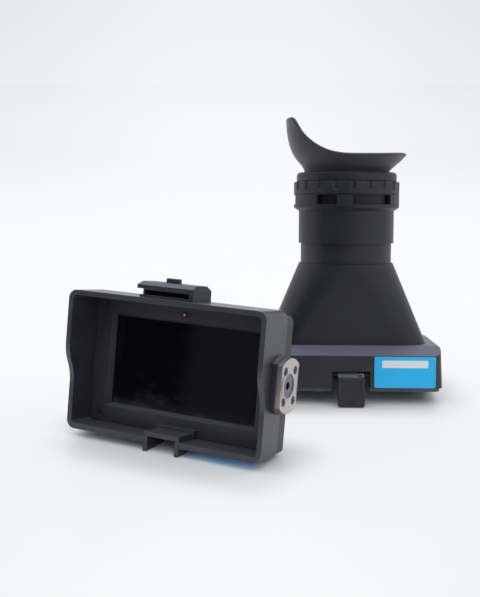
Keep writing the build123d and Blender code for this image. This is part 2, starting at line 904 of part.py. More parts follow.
with BuildPart() as plate_screws:
    with Locations(*screw_places):
        Cone(
            plate_screw_head_r - screw_fit,
            screw_shank_r,
            plate_screw_head_r - screw_shank_r,
            align=(Align.CENTER, Align.CENTER, Align.MIN),
        )
        Cylinder(
            screw_shank_r, plate_screw_length, align=(Align.CENTER, Align.CENTER, Align.MIN)
        )
        Cylinder(
            recess_round_share * screw_head_r,
            plate_recess_depth,
            align=(Align.CENTER, Align.CENTER, Align.MIN),
            mode=Mode.SUBTRACT,
        )
save(plate_screws, "plate_screws", Location())

with BuildPart() as tripod_insert:
    with BuildSketch():
        Circle(socket_r + insert_wall)
    extrude(amount=socket_depth + insert_end)
    with BuildSketch():
        Circle(socket_r)
    extrude(amount=socket_depth, mode=Mode.SUBTRACT)
save(tripod_insert, "tripod_insert", Location())

# Rosette base: a flatted disc that also fills the step down to the rear case
rosette_screw_places = [
    (y, z)
    for y in (-rosette_screw_y, rosette_screw_y)
    for z in (-rosette_screw_z, rosette_screw_z)
]
with BuildPart() as rosette_base:
    with BuildSketch(rosette_plane):
        Circle(rosette_base_r)
        Rectangle(2 * rosette_base_flat, 2 * rosette_base_r, mode=Mode.INTERSECT)
    extrude(amount=rosette_base_thickness)
    with BuildSketch(rosette_plane):
        Circle(rosette_base_r)
        Rectangle(2 * rosette_base_flat, 2 * rosette_base_r, mode=Mode.INTERSECT)
        with Locations((seam_y - rosette_y - rosette_base_r, 0)):
            Rectangle(2 * rosette_base_r, 2 * rosette_base_r, mode=Mode.SUBTRACT)
    extrude(amount=-case_inset)
    with BuildSketch(rosette_plane.offset(rosette_base_thickness)):
        Circle(hub_stem_r)
        with Locations(*rosette_screw_places):
            Circle(rosette_screw_r + screw_fit)
    extrude(amount=-rosette_base_thickness - case_inset, mode=Mode.SUBTRACT)
save(rosette_base, "rosette_base", monitor_pose)

# Toothed steel plate, with radial grooves in the two flatted sectors
plate_floor = rosette_plane.offset(rosette_base_thickness)
plate_face = plate_floor.offset(rosette_thickness)
groove_length = rosette_r - rosette_tooth_start + cut_past
groove_mid = rosette_tooth_start + groove_length / 2
groove_side = rosette_tooth_depth * math.sqrt(2)
groove_span = (rosette_teeth_a_side - 1) * rosette_tooth_pitch
with BuildPart(plate_face) as rosette_plate:
    with BuildSketch(plate_floor):
        Circle(rosette_r)
        Rectangle(2 * rosette_flat, 2 * rosette_r, mode=Mode.INTERSECT)
        Circle(hub_r, mode=Mode.SUBTRACT)
    extrude(amount=rosette_thickness)
    for side_angle in (0, 180):
        with PolarLocations(
            groove_mid, rosette_teeth_a_side, side_angle - groove_span / 2, groove_span, endpoint=True
        ):
            Box(groove_length, groove_side, groove_side, rotation=(45, 0, 0), mode=Mode.SUBTRACT)
    Cone(
        hub_r,
        hub_r + hub_chamfer,
        hub_chamfer,
        align=(Align.CENTER, Align.CENTER, Align.MAX),
        mode=Mode.SUBTRACT,
    )
    with Locations(*rosette_screw_places):
        CounterSinkHole(rosette_screw_r + screw_fit, rosette_screw_head_r, rosette_thickness)
save(rosette_plate, "rosette_plate", monitor_pose)

with BuildPart() as rosette_hub:
    with BuildSketch(plate_floor):
        Circle(hub_r - screw_fit)
    extrude(amount=hub_face - rosette_base_thickness)
    with BuildSketch(plate_floor):
        Circle(hub_stem_r - screw_fit)
    extrude(amount=-rosette_base_thickness - hood_wall + hub_stem_gap)
    with BuildSketch(rosette_plane.offset(hub_face)):
        Circle(hub_socket_r)
    extrude(amount=-hub_socket_depth, mode=Mode.SUBTRACT)
save(rosette_hub, "rosette_hub", monitor_pose)

rosette_cone_height = rosette_screw_head_r - rosette_screw_r
with BuildPart() as rosette_screws:
    with Locations(plate_face.offset(-rosette_screw_sink)):
        with Locations(*rosette_screw_places):
            Cone(
                rosette_screw_r,
                rosette_screw_head_r - rosette_screw_sink,
                rosette_cone_height,
                align=(Align.CENTER, Align.CENTER, Align.MAX),
            )
            Cylinder(
                rosette_screw_r,
                rosette_screw_length,
                align=(Align.CENTER, Align.CENTER, Align.MAX),
            )
            Cylinder(
                rosette_recess_r,
                rosette_recess_depth,
                align=(Align.CENTER, Align.CENTER, Align.MAX),
                mode=Mode.SUBTRACT,
            )
save(rosette_screws, "rosette_screws", monitor_pose)

# Shoe body: a flange and a slot that is open to the front
shoe_depth = shoe_front + shoe_back
shoe_mid_y = (shoe_back - shoe_front) / 2
shoe_mid_x = (shoe_left + shoe_right) / 2
with BuildPart() as shoe_body:
    with BuildSketch(Plane.XY.offset(hood_height)):
        with Locations(((shoe_flange_left + shoe_flange_right) / 2, shoe_mid_y)):
            Rectangle(shoe_flange_right - shoe_flange_left, shoe_depth)
    extrude(amount=shoe_flange_thickness)
    with BuildSketch(Plane.XY.offset(shoe_base)):
        with Locations((shoe_mid_x, shoe_mid_y)):
            Rectangle(shoe_right - shoe_left, shoe_depth)
    extrude(amount=shoe_slot_height + shoe_roof)
    with BuildSketch(Plane.XY.offset(shoe_base)):
        with Locations((shoe_slot_mid, shoe_mid_y - hood_wall)):
            Rectangle(shoe_slot_right - shoe_slot_left, shoe_depth)
    extrude(amount=shoe_slot_height, mode=Mode.SUBTRACT)
    with Locations(Plane.XY.offset(shoe_base)):
        with Locations(*shoe_screw_places):
            CounterSinkHole(screw_shank_r + screw_fit, shoe_screw_head_r, shoe_flange_thickness)
    with BuildSketch(Plane.XY.offset(shoe_body_top)):
        with Locations((button_x, button_y)):
            Circle(button_pin_r + button_gap)
    extrude(amount=-shoe_roof, mode=Mode.SUBTRACT)
save(shoe_body, "shoe_body", monitor_pose)

with BuildPart() as shoe_screws:
    with Locations(Plane.XY.offset(shoe_base)):
        with Locations(*shoe_screw_places):
            Cone(
                screw_shank_r,
                shoe_screw_head_r - screw_fit,
                shoe_screw_head_r - screw_shank_r,
                align=(Align.CENTER, Align.CENTER, Align.MAX),
            )
            Cylinder(
                screw_shank_r,
                shoe_screw_length,
                align=(Align.CENTER, Align.CENTER, Align.MAX),
            )
save(shoe_screws, "shoe_screws", monitor_pose)

# Shoe top: the lipped plate, bevelled at the front, the left and the rear, with the button's pocket
with BuildPart() as shoe_lid:
    with BuildSketch(Plane.XZ.offset(shoe_front)):
        with BuildLine():
            Polyline(
                (shoe_lip_left, shoe_body_top),
                (shoe_right, shoe_body_top),
                (shoe_right, shoe_top),
                (shoe_lip_left + shoe_bevel_width, shoe_top),
                (shoe_lip_left, shoe_top - shoe_bevel_height),
                close=True,
            )
        make_face()
    extrude(amount=-shoe_depth)
    with BuildSketch(Plane.YZ.offset(shoe_lip_left - cut_past)):
        with BuildLine():
            Polyline(
                (-shoe_front, shoe_body_top),
                (-shoe_front, shoe_top - shoe_bevel_height),
                (shoe_bevel_width - shoe_front, shoe_top),
                (shoe_back - shoe_rear_chamfer_length, shoe_top),
                (shoe_back, shoe_top - shoe_rear_chamfer),
                (shoe_back, shoe_body_top),
                close=True,
            )
        make_face()
    extrude(amount=hood_width, mode=Mode.INTERSECT)
    pocket_floor = shoe_body_top + button_pocket_floor
    with BuildSketch(Plane.XY.offset(pocket_floor)):
        with Locations((button_x, button_y)):
            RectangleRounded(button_size + 2 * button_gap, button_size + 2 * button_gap, 1)
    extrude(amount=shoe_top_thickness, mode=Mode.SUBTRACT)
    with BuildSketch(Plane.XY.offset(shoe_body_top)):
        with Locations((button_x, button_y)):
            Circle(button_pin_r + button_gap)
    extrude(amount=shoe_top_thickness, mode=Mode.SUBTRACT)
save(shoe_lid, "shoe_lid", monitor_pose)

# Release button with its locking pin, and the spring under it
button_cap_top = shoe_top - button_flush
button_low = button_cap_top - button_cap_height
with BuildPart() as release_button:
    with BuildSketch(Plane.XY.offset(button_low)):
        with Locations((button_x, button_y)):
            RectangleRounded(button_size, button_size, button_corner)
    extrude(amount=button_cap_height)
    with BuildSketch(Plane.XY.offset(button_cap_top)):
        with Locations((button_x, button_y)):
            RectangleRounded(button_tab_width, button_tab_depth, button_tab_corner)
    extrude(amount=button_rise + button_flush)
    fillet(release_button.faces().sort_by(Axis.Z)[-1].edges(), button_round)
    with BuildSketch(Plane.XY.offset(button_low)):
        with Locations((button_x, button_y)):
            Circle(button_pin_r)
    extrude(amount=-(button_low - shoe_base - shoe_slot_height + button_pin_reach))
save(release_button, "release_button", monitor_pose)

with BuildPart() as button_spring:
    with BuildSketch(Plane.XY.offset(pocket_floor)):
        with Locations((button_x, button_y)):
            Circle(button_spring_r)
            Circle(button_pin_r + 2 * button_gap, mode=Mode.SUBTRACT)
    extrude(amount=button_low - pocket_floor)
save(button_spring, "button_spring", monitor_pose)

# Plain label under the monitor, bent where the underside turns
with BuildPart() as base_label:
    with BuildSketch(Plane.YZ.offset(base_label_left)):
        with BuildLine():
            Polyline(
                (-base_label_front, 0),
                (underside_start, 0),
                (base_label_back, underside(base_label_back)),
                (base_label_back, underside(base_label_back) - label_thickness),
                (underside_start, -label_thickness),
                (-base_label_front, -label_thickness),
                close=True,
            )
        make_face()
    extrude(amount=label_width)
save(base_label, "base_label", monitor_pose)

# Loupe base: side walls that draft inwards, a ramp along the front and a flat deck, all hollow
base_mid = base_depth / 2
base_inside_width = base_width - 2 * base_wall
ramp_slope = (deck_height - wall_top) / deck_ramp
ear_mid = (notch_width + latch_ear) / 2
with BuildPart() as base_frame:
    for height, inset in ((seal_height, 0), (deck_height, base_draft)):
        with BuildSketch(Plane.XY.offset(height)):
            with Locations((0, base_mid)):
                RectangleRounded(base_width - 2 * inset, base_depth, base_corner)
    loft()
    for height, inset in ((seal_height, 0), (deck_height - deck_thickness, base_draft)):
        with BuildSketch(Plane.XY.offset(height)):
            with Locations((0, base_mid)):
                RectangleRounded(
                    base_inside_width - 2 * inset,
                    base_depth - 2 * base_wall,
                    max(base_corner - base_wall, least_corner),
                )
    loft(mode=Mode.SUBTRACT)
    with BuildSketch(Plane.YZ):
        with BuildLine():
            Polyline(
                (base_wall / 2, wall_top - deck_thickness),
                (base_wall / 2, deck_height),
                (deck_ramp, deck_height),
                (deck_ramp, deck_height - deck_thickness),
                close=True,
            )
        make_face()
    extrude(amount=base_inside_width / 2, both=True)
    with BuildSketch(Plane.YZ):
        with BuildLine():
            Polyline(
                (-base_wall, wall_top - base_wall * ramp_slope),
                (-base_wall, deck_height + cut_past),
                (deck_ramp + cut_past / ramp_slope, deck_height + cut_past),
                close=True,
            )
        make_face()
    extrude(amount=base_width, both=True, mode=Mode.SUBTRACT)
    fillet(base_frame.faces().sort_by(Axis.Z)[-1].edges(), deck_edge)
    with BuildSketch(Plane.XY.offset(deck_height - deck_thickness)):
        with Locations((0, axis_y)):
            RectangleRounded(
                foot_width - 4 * cone_wall, foot_depth - 4 * cone_wall, foot_corner - 2 * cone_wall
            )
    extrude(amount=deck_thickness + cut_past, mode=Mode.SUBTRACT)
    # Ears that carry the latch pin, and the notch between them
    with BuildSketch(Plane.XY.offset(seal_height)):
        with Locations(
            (latch_x - ear_mid, base_wall + latch_ear), (latch_x + ear_mid, base_wall + latch_ear)
        ):
            Rectangle(latch_ear, 2 * latch_ear)
    extrude(amount=notch_height)
    with BuildSketch(Plane.XZ):
        with Locations((latch_x, notch_height / 2)):
            Rectangle(notch_width, notch_height)
    extrude(amount=-base_wall, mode=Mode.SUBTRACT)
    with BuildSketch(Plane.YZ.offset(latch_x)):
        with Locations((latch_pin_y, latch_pin_z)):
            Circle(latch_pin_r + screw_fit)
    extrude(amount=notch_width / 2 + latch_ear, both=True, mode=Mode.SUBTRACT)
    # Screw holes for the hook in the back wall
    with BuildSketch(Plane.XZ.offset(-base_depth)):
        with Locations(*hook_screw_places):
            Circle(screw_shank_r + screw_fit)
    extrude(amount=base_wall, mode=Mode.SUBTRACT)
save(base_frame, "base_frame", loupe_pose)

# Soft seal round the wide end, open at the notch
with BuildPart() as rim_seal:
    with BuildSketch():
        with Locations((0, base_mid)):
            RectangleRounded(
                base_width - 2 * seal_inset, base_depth - 2 * seal_inset, base_corner - seal_inset
            )
            RectangleRounded(
                base_width - 2 * seal_inset - 2 * seal_width,
                base_depth - 2 * seal_inset - 2 * seal_width,
                base_corner - seal_inset,
                mode=Mode.SUBTRACT,
            )
        with Locations((latch_x, seal_inset)):
            Rectangle(notch_width, 4 * seal_width, mode=Mode.SUBTRACT)
    extrude(amount=seal_height)
save(rim_seal, "rim_seal", loupe_pose)

# Cone from the rounded oblong foot to the round neck
with BuildPart() as loupe_cone:
    for inset in (0, cone_wall):
        with BuildSketch(Plane.XY.offset(deck_height)):
            with Locations((0, axis_y)):
                RectangleRounded(foot_width - 2 * inset, foot_depth - 2 * inset, foot_corner - inset)
        with BuildSketch(Plane.XY.offset(cone_top)):
            with Locations((0, axis_y)):
                cone_end = 2 * (cone_top_r - inset)
                RectangleRounded(cone_end, cone_end, 0.4995 * cone_end)
        loft(mode=Mode.SUBTRACT if inset else Mode.ADD)
save(loupe_cone, "loupe_cone", loupe_pose)

# Neck tube, with the barrel that the focus ring turns on and two slots for the drive pins
axis_plane = Plane(origin=(0, axis_y, 0), x_dir=(1, 0, 0), z_dir=(0, -1, 0))
optical_axis = Axis((0, axis_y, 0), (0, 0, 1))
with BuildPart() as neck_tube:
    with BuildSketch(axis_plane):
        with BuildLine():
            Polyline(
                (neck_bore_r, cone_top),
                (lower_neck_r, cone_top),
                (lower_neck_r, lower_neck_top),
                (neck_r, lower_neck_top),
                (neck_r, neck_top),
                (window_ring_r, taper_top),
                (barrel_r, taper_top),
                (barrel_r, collar_low),
                (neck_bore_r, collar_low),
                close=True,
            )
        make_face()
    revolve(axis=optical_axis)
    with BuildSketch(Plane.XY.offset(taper_top)):
        with Locations((0, axis_y)):
            Rectangle(2 * window_ring_r, 2 * (drive_pin_r + screw_fit))
            Circle(neck_bore_r - cut_past, mode=Mode.SUBTRACT)
    extrude(amount=collar_low - taper_top - neck_relief_gap, mode=Mode.SUBTRACT)
save(neck_tube, "neck_tube", loupe_pose)


def wedge(from_angle, to_angle, reach):
    """Points of a sector's outline about the optical axis, as seen from above."""
    steps = max(3, math.ceil((to_angle - from_angle) / wedge_step))
    angles = [from_angle + (to_angle - from_angle) * i / steps for i in range(steps + 1)]
    rim = [
        (reach * math.cos(math.radians(a)), axis_y + reach * math.sin(math.radians(a)))
        for a in angles
    ]
    return [(0, axis_y)] + rim


# Fixed ring with its two windows, where the tab of the focus ring shows
with BuildPart() as window_ring:
    with BuildSketch(Plane.XY.offset(taper_top)):
        with Locations((0, axis_y)):
            Circle(window_ring_r)
            Circle(window_ring_r - window_ring_wall, mode=Mode.SUBTRACT)
    extrude(amount=window_ring_top - taper_top)
    with BuildSketch(Plane.XY.offset(window_sill)):
        for from_angle, to_angle in ((window_from, window_to), (second_window_from, second_window_to)):
            with BuildLine():
                Polyline(*wedge(from_angle, to_angle, 2 * window_ring_r), close=True)
            make_face()
    extrude(amount=window_head - window_sill, mode=Mode.SUBTRACT)
save(window_ring, "window_ring", loupe_pose)

# Focus ring: a fluted grip above, a sleeve below and the tab that stands out of the window
focus_ring_low = window_ring_top + focus_ring_gap
with BuildPart() as focus_ring:
    with BuildSketch(Plane.XY.offset(focus_ring_low)):
        with Locations((0, axis_y)):
            Circle(window_ring_r)
    extrude(amount=focus_ring_top - focus_ring_low)
    chamfer(focus_ring.edges().group_by(Axis.Z)[-1], length=focus_ring_chamfer)
    groove_at = window_ring_r - focus_groove_depth + focus_groove_r
    groove_high = focus_ring_low + focus_groove_low
    with Locations((0, axis_y, groove_high)):
        with PolarLocations(groove_at, focus_grooves, focus_groove_start):
            Cylinder(
                focus_groove_r,
                focus_ring_top - groove_high + cut_past,
                align=(Align.CENTER, Align.CENTER, Align.MIN),
                mode=Mode.SUBTRACT,
            )
            Cone(
                focus_groove_r - focus_groove_run,
                focus_groove_r,
                focus_groove_run,
                align=(Align.CENTER, Align.CENTER, Align.MAX),
                mode=Mode.SUBTRACT,
            )
    with BuildSketch(Plane.XY.offset(focus_sleeve_low)):
        with Locations((0, axis_y)):
            Circle(focus_sleeve_r)
    extrude(amount=focus_ring_low - focus_sleeve_low)
    with BuildSketch(Plane.XY.offset(window_sill + focus_ring_gap)):
        with BuildLine():
            Polyline(*wedge(tab_from, tab_to, 2 * window_ring_r), close=True)
        make_face()
        with Locations((0, axis_y)):
            Circle(window_ring_r + tab_rise, mode=Mode.INTERSECT)
    extrude(amount=window_head - window_sill - 2 * focus_ring_gap)
    with BuildSketch(Plane.XY.offset(tab_low)):
        with BuildLine():
            Polyline(*wedge(tab_from, tab_to, 2 * window_ring_r), close=True)
        make_face()
        with Locations((0, axis_y)):
            Circle(window_ring_r + tab_rise, mode=Mode.INTERSECT)
            Circle(window_ring_r + tab_gap, mode=Mode.SUBTRACT)
    extrude(amount=window_head - focus_ring_gap - tab_low)
    with BuildSketch(Plane.XY.offset(focus_sleeve_low)):
        with Locations((0, axis_y)):
            Circle(barrel_r + turning_gap)
    extrude(amount=focus_ring_top - focus_sleeve_low, mode=Mode.SUBTRACT)
save(focus_ring, "focus_ring", loupe_pose)

# Lens cell, which slides in the neck, with its two drive pins
with BuildPart() as lens_cell:
    with BuildSketch(axis_plane):
        with BuildLine():
            Polyline(
                (cell_bore - cell_ledge, cell_low),
                (cell_r, cell_low),
                (cell_r, cell_high),
                (cell_bore, cell_high),
                (cell_bore, lens_low),
                (cell_bore - cell_ledge, lens_low),
                close=True,
            )
        make_face()
    revolve(axis=optical_axis)
save(lens_cell, "lens_cell", loupe_pose)

with BuildPart() as drive_pins:
    with BuildSketch(Plane.YZ.offset(cell_r)):
        with Locations((axis_y, drive_pin_z)):
            Circle(drive_pin_r)
    extrude(amount=barrel_r - cell_r)
    with BuildSketch(Plane.YZ.offset(-cell_r)):
        with Locations((axis_y, drive_pin_z)):
            Circle(drive_pin_r)
    extrude(amount=cell_r - barrel_r)
save(drive_pins, "drive_pins", loupe_pose)

# Two lenses in the cell, a spacer between them and the ring that holds them in
lens_r = cell_bore - lens_gap
lens_clear_r = lens_r - cell_ledge


def crown(bulge, across):
    """Height of a lens's spherical face above its flat rim, at a distance from the axis."""
    sphere_r = (lens_clear_r**2 + bulge**2) / (2 * bulge)
    return math.sqrt(sphere_r**2 - across**2) - sphere_r + bulge


lenses = (
    ("field_lens", lens_low, field_lens_bulge_low, field_lens_bulge_high),
    ("eye_lens", lens_low + lens_edge + spacer_height, eye_lens_bulge_low, eye_lens_bulge_high),
)
for lens_name, edge_low, bulge_low, bulge_high in lenses:
    edge_high = edge_low + lens_edge
    with BuildPart() as lens:
        with BuildSketch(axis_plane):
            with BuildLine():
                ThreePointArc(
                    (0, edge_high + bulge_high),
                    (lens_clear_r / 2, edge_high + crown(bulge_high, lens_clear_r / 2)),
                    (lens_clear_r, edge_high),
                )
                Polyline(
                    (lens_clear_r, edge_high),
                    (lens_r, edge_high),
                    (lens_r, edge_low),
                    (lens_clear_r, edge_low),
                )
                ThreePointArc(
                    (lens_clear_r, edge_low),
                    (lens_clear_r / 2, edge_low - crown(bulge_low, lens_clear_r / 2)),
                    (0, edge_low - bulge_low),
                )
                Line((0, edge_low - bulge_low), (0, edge_high + bulge_high))
            make_face()
        revolve(axis=optical_axis)
    save(lens, lens_name, loupe_pose)

spacer_low = lens_low + lens_edge
keeper_ring_low = spacer_low + spacer_height + lens_edge
ring_pieces = (
    ("lens_spacer", spacer_low, spacer_height),
    ("lens_retainer", keeper_ring_low, retainer_height),
)
for ring_name, ring_low, ring_height in ring_pieces:
    with BuildPart() as ring:
        with BuildSketch(Plane.XY.offset(ring_low)):
            with Locations((0, axis_y)):
                Circle(lens_r)
                Circle(lens_clear_r, mode=Mode.SUBTRACT)
        extrude(amount=ring_height)
    save(ring, ring_name, loupe_pose)

# Collar on top of the barrel, rounded above, with a seat for the eyecup
with BuildPart() as eyecup_collar:
    with BuildSketch(axis_plane):
        with BuildLine():
            Polyline(
                (collar_bore - collar_ledge, collar_low),
                (collar_r, collar_low),
                (collar_r, collar_high),
                (collar_bore, collar_high),
                (collar_bore, collar_low + collar_ledge_height),
                (collar_bore - collar_ledge, collar_low + collar_ledge_height),
                close=True,
            )
        make_face()
    revolve(axis=optical_axis)
    fillet(eyecup_collar.edges().group_by(Axis.Z)[-1].sort_by(SortBy.RADIUS)[-1], collar_round)
save(eyecup_collar, "eyecup_collar", loupe_pose)

# Eyecup: a soft bowl whose rim climbs to a wing on the left
cup_seat = collar_low + collar_ledge_height
cup_foot_r = collar_bore - turning_gap
cup_clear = collar_high + cup_gap
with BuildPart() as eyecup:
    with BuildSketch(axis_plane):
        with BuildLine():
            Line((cup_foot_r - cup_foot_wall, cup_seat), (cup_foot_r, cup_seat))
            Line((cup_foot_r, cup_seat), (cup_foot_r, cup_clear))
            Spline((cup_foot_r, cup_clear), *cup_outer_points, tangents=((1, 0.15), (0.05, 1)))
            cup_tip = cup_outer_points[-1]
            Line(cup_tip, (cup_tip[0] - cup_wall, cup_tip[1]))
            Spline(
                (cup_tip[0] - cup_wall, cup_tip[1]),
                *[(r - cup_wall, z + cup_wall * 0.4) for r, z in reversed(cup_outer_points[:-1])],
                (cup_foot_r - cup_foot_wall, cup_clear + cup_wall),
                tangents=((-0.05, -1), (-0.5, -1)),
            )
            Line(
                (cup_foot_r - cup_foot_wall, cup_clear + cup_wall),
                (cup_foot_r - cup_foot_wall, cup_seat),
            )
        make_face()
    revolve(axis=optical_axis)
    with BuildSketch(Plane.XZ):
        with BuildLine():
            wing_top = cup_tip[1] + 2 * cut_past
            Spline(*cup_rim_points)
            Polyline(
                cup_rim_points[-1],
                (2 * cup_tip[0], cup_rim_points[-1][1]),
                (2 * cup_tip[0], wing_top),
                (cup_rim_points[0][0], wing_top),
                cup_rim_points[0],
            )
        make_face()
    extrude(amount=2 * base_depth, both=True, mode=Mode.SUBTRACT)
save(eyecup, "eyecup", loupe_pose)

# Latch clip: a plate with a finger panel, a tooth behind it and a hub on the pin
clip_mid = (clip_top - clip_drop) / 2
hub_width = clip_width - spring_length
with BuildPart() as latch_clip:
    with BuildSketch(Plane.XZ.offset(clip_front)):
        with Locations((latch_x, clip_mid)):
            RectangleRounded(clip_width, clip_top + clip_drop, clip_corner)
    extrude(amount=-clip_thickness)
    with BuildSketch(Plane.XZ.offset(clip_front)):
        with Locations((latch_x, (clip_panel_low + clip_panel_high) / 2)):
            Rectangle(clip_panel_width, clip_panel_high - clip_panel_low)
        with Locations((latch_x, (clip_notch_low + clip_notch_high) / 2)):
            Rectangle(clip_notch_width, clip_notch_high - clip_notch_low)
    extrude(amount=-clip_panel_depth, mode=Mode.SUBTRACT)
    with BuildSketch(Plane.YZ.offset(latch_x)):
        with BuildLine():
            Polyline(
                (clip_back, clip_tooth_low),
                (clip_back, clip_tooth_high),
                (clip_back + clip_tooth_rise, clip_tooth_high),
                (clip_back + clip_tooth_share * clip_tooth_rise, clip_tooth_low),
                close=True,
            )
        make_face()
    extrude(amount=clip_panel_width / 2, both=True)
    with BuildSketch(Plane.YZ.offset(latch_x - clip_width / 2)):
        with BuildLine():
            Polyline(
                (clip_back, clip_top - 2 * hub_wall_r),
                (clip_back, clip_top),
                (latch_pin_y, latch_pin_z + hub_wall_r),
                (latch_pin_y, latch_pin_z - hub_wall_r),
                close=True,
            )
        make_face()
        with Locations((latch_pin_y, latch_pin_z)):
            Circle(hub_wall_r)
    extrude(amount=hub_width)
    with BuildSketch(Plane.YZ.offset(latch_x)):
        with Locations((latch_pin_y, latch_pin_z)):
            Circle(latch_pin_r + turning_gap)
    extrude(amount=clip_width, both=True, mode=Mode.SUBTRACT)
save(latch_clip, "latch_clip", loupe_pose)

with BuildPart() as latch_pin:
    with BuildSketch(Plane.YZ.offset(latch_x)):
        with Locations((latch_pin_y, latch_pin_z)):
            Circle(latch_pin_r)
    extrude(amount=notch_width / 2 + latch_ear, both=True)
save(latch_pin, "latch_pin", loupe_pose)

with BuildPart() as latch_spring:
    with BuildSketch(Plane.YZ.offset(latch_x - clip_width / 2 + hub_width + button_gap)):
        with Locations((latch_pin_y, latch_pin_z)):
            Circle(latch_spring_r)
            Circle(latch_pin_r + turning_gap, mode=Mode.SUBTRACT)
    extrude(amount=spring_length - 2 * button_gap)
save(latch_spring, "latch_spring", loupe_pose)

# Hook on the back wall, whose blade enters the shoe, with a hole for the release pin
with BuildPart() as hook_plate:
    with BuildSketch(Plane.YZ.offset(hook_x)):
        with BuildLine():
            Polyline(
                (base_depth, hook_foot),
                (base_depth, hook_top),
                (blade_y + hook_thickness, hook_top),
                (blade_y + hook_thickness, blade_low),
                (blade_y, blade_low),
                (blade_y, hook_top - hook_thickness),
                (base_depth + hook_thickness, hook_top - hook_thickness),
                (base_depth + hook_thickness, hook_foot),
                close=True,
            )
        make_face()
    extrude(amount=hook_width / 2, both=True)
    with BuildSketch(Plane.XZ.offset(-blade_y - hook_thickness)):
        with Locations((button_x, blade_hole_z)):
            Circle(button_pin_r + 2 * button_gap)
    extrude(amount=hook_thickness, mode=Mode.SUBTRACT)
    with BuildSketch(Plane.XZ.offset(-base_depth - hook_thickness)):
        with Locations(*hook_screw_places):
            Circle(screw_shank_r + screw_fit)
    extrude(amount=hook_thickness, mode=Mode.SUBTRACT)
save(hook_plate, "hook_plate", loupe_pose)

with BuildPart() as hook_screws:
    with BuildSketch(Plane.XZ.offset(-base_depth - hook_thickness)):
        with Locations(*hook_screw_places):
            Circle(screw_head_r)
    extrude(amount=-hook_head_share * screw_head_length)
    with BuildSketch(Plane.XZ.offset(-base_depth - hook_thickness)):
        with Locations(*hook_screw_places):
            Circle(screw_shank_r)
    extrude(amount=hook_thickness + hook_screw_share * base_wall)
save(hook_screws, "hook_screws", loupe_pose)

# Plain label and its pale panel on the front wall
label_mid_x = loupe_label_left + label_width / 2
with BuildPart() as loupe_label:
    with BuildSketch(Plane.XZ):
        with Locations((label_mid_x, loupe_label_low + label_height / 2)):
            RectangleRounded(label_width, label_height, label_corner)
    extrude(amount=label_thickness)
save(loupe_label, "loupe_label", loupe_pose)

with BuildPart() as label_panel:
    with BuildSketch(Plane.XZ.offset(label_thickness)):
        with Locations((label_mid_x, loupe_label_low + label_height - panel_drop)):
            Rectangle(panel_width, panel_height)
    extrude(amount=panel_thickness)
save(label_panel, "label_panel", loupe_pose)
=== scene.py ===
"""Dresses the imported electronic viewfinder: its finishes, the soft eyecup and the studio.

Sizes on the object are in millimetres, in the upright frame of the monitor or of the loupe.
A pose carries them to their places on the floor, in metres, which is the frame of the CAD part.
"""
from __future__ import annotations

import logging
import math
from dataclasses import dataclass
from enum import Enum
from typing import Any, Mapping, Sequence

import bmesh
import bpy
from mathutils import Matrix, Vector

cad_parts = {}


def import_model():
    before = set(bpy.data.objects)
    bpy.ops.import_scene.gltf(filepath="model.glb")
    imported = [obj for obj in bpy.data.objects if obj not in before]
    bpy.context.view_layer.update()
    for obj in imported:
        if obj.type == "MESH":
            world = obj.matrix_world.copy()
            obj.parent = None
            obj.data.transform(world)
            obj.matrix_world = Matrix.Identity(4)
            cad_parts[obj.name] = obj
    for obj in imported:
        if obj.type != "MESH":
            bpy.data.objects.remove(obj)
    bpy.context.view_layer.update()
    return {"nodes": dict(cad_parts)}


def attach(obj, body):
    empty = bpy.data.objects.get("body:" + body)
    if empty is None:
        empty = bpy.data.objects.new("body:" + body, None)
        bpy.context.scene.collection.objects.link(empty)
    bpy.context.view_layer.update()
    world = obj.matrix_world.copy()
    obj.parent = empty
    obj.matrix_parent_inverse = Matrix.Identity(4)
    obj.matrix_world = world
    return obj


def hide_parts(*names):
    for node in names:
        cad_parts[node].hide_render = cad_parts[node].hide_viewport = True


LOG = logging.getLogger("viewfinder")

Colour = tuple[float, float, float]
Point = tuple[float, float]
Point3 = tuple[float, float, float]
Node = bpy.types.Node
Socket = bpy.types.NodeSocket

MILLIMETRE = 0.001
BLACK: Colour = (0.0, 0.0, 0.0)
# The pale colour that faces looking up are blended towards: painted top light.
PAINTED_TOP_LIGHT: Colour = (0.125, 0.13, 0.175)


def upright_pose(place: Point3, turn: float, lean: float) -> Matrix:
    """Works out what carries a piece from its upright frame to the floor.

    Args:
        place: Where the upright frame's origin stands, in millimetres.
        turn: Turn about the vertical, in degrees.
        lean: Lean about the frame's own left-to-right axis, in degrees.

    Returns:
        The matrix from millimetres in the upright frame to metres on the floor.
    """
    return (
        Matrix.Translation(Vector(place) * MILLIMETRE)
        @ Matrix.Rotation(math.radians(turn), 4, "Z")
        @ Matrix.Rotation(math.radians(lean), 4, "X")
        @ Matrix.Scale(MILLIMETRE, 4)
    )


MONITOR_POSE = upright_pose((0.0, -9.5, 1.45), 0.0, -9.74)
LOUPE_POSE = upright_pose((44.3, 78.36, 6.787), 27.33, -7.037)


@dataclass(frozen=True)
class Footprint:
    """The upright box round one half of the viewfinder, seen in plan.

    Attributes:
        pose: The pose of the box's upright frame.
        centre: The box's centre in that frame, in millimetres.
        half: Half its width and half its depth, in millimetres.
    """

    pose: Matrix
    centre: Point3
    half: Point


MONITOR_FOOT = Footprint(MONITOR_POSE, (0.0, -6.0, 0.0), (49.0, 17.0))
LOUPE_FOOT = Footprint(LOUPE_POSE, (0.0, 28.3, 0.0), (46.0, 28.0))


class Body(Enum):
    """The moving bodies that new pieces ride on."""

    EYECUP = "eyecup"


class Slot(Enum):
    """Names for the material slots of new pieces."""

    CUP_RUBBER = "cup_rubber"


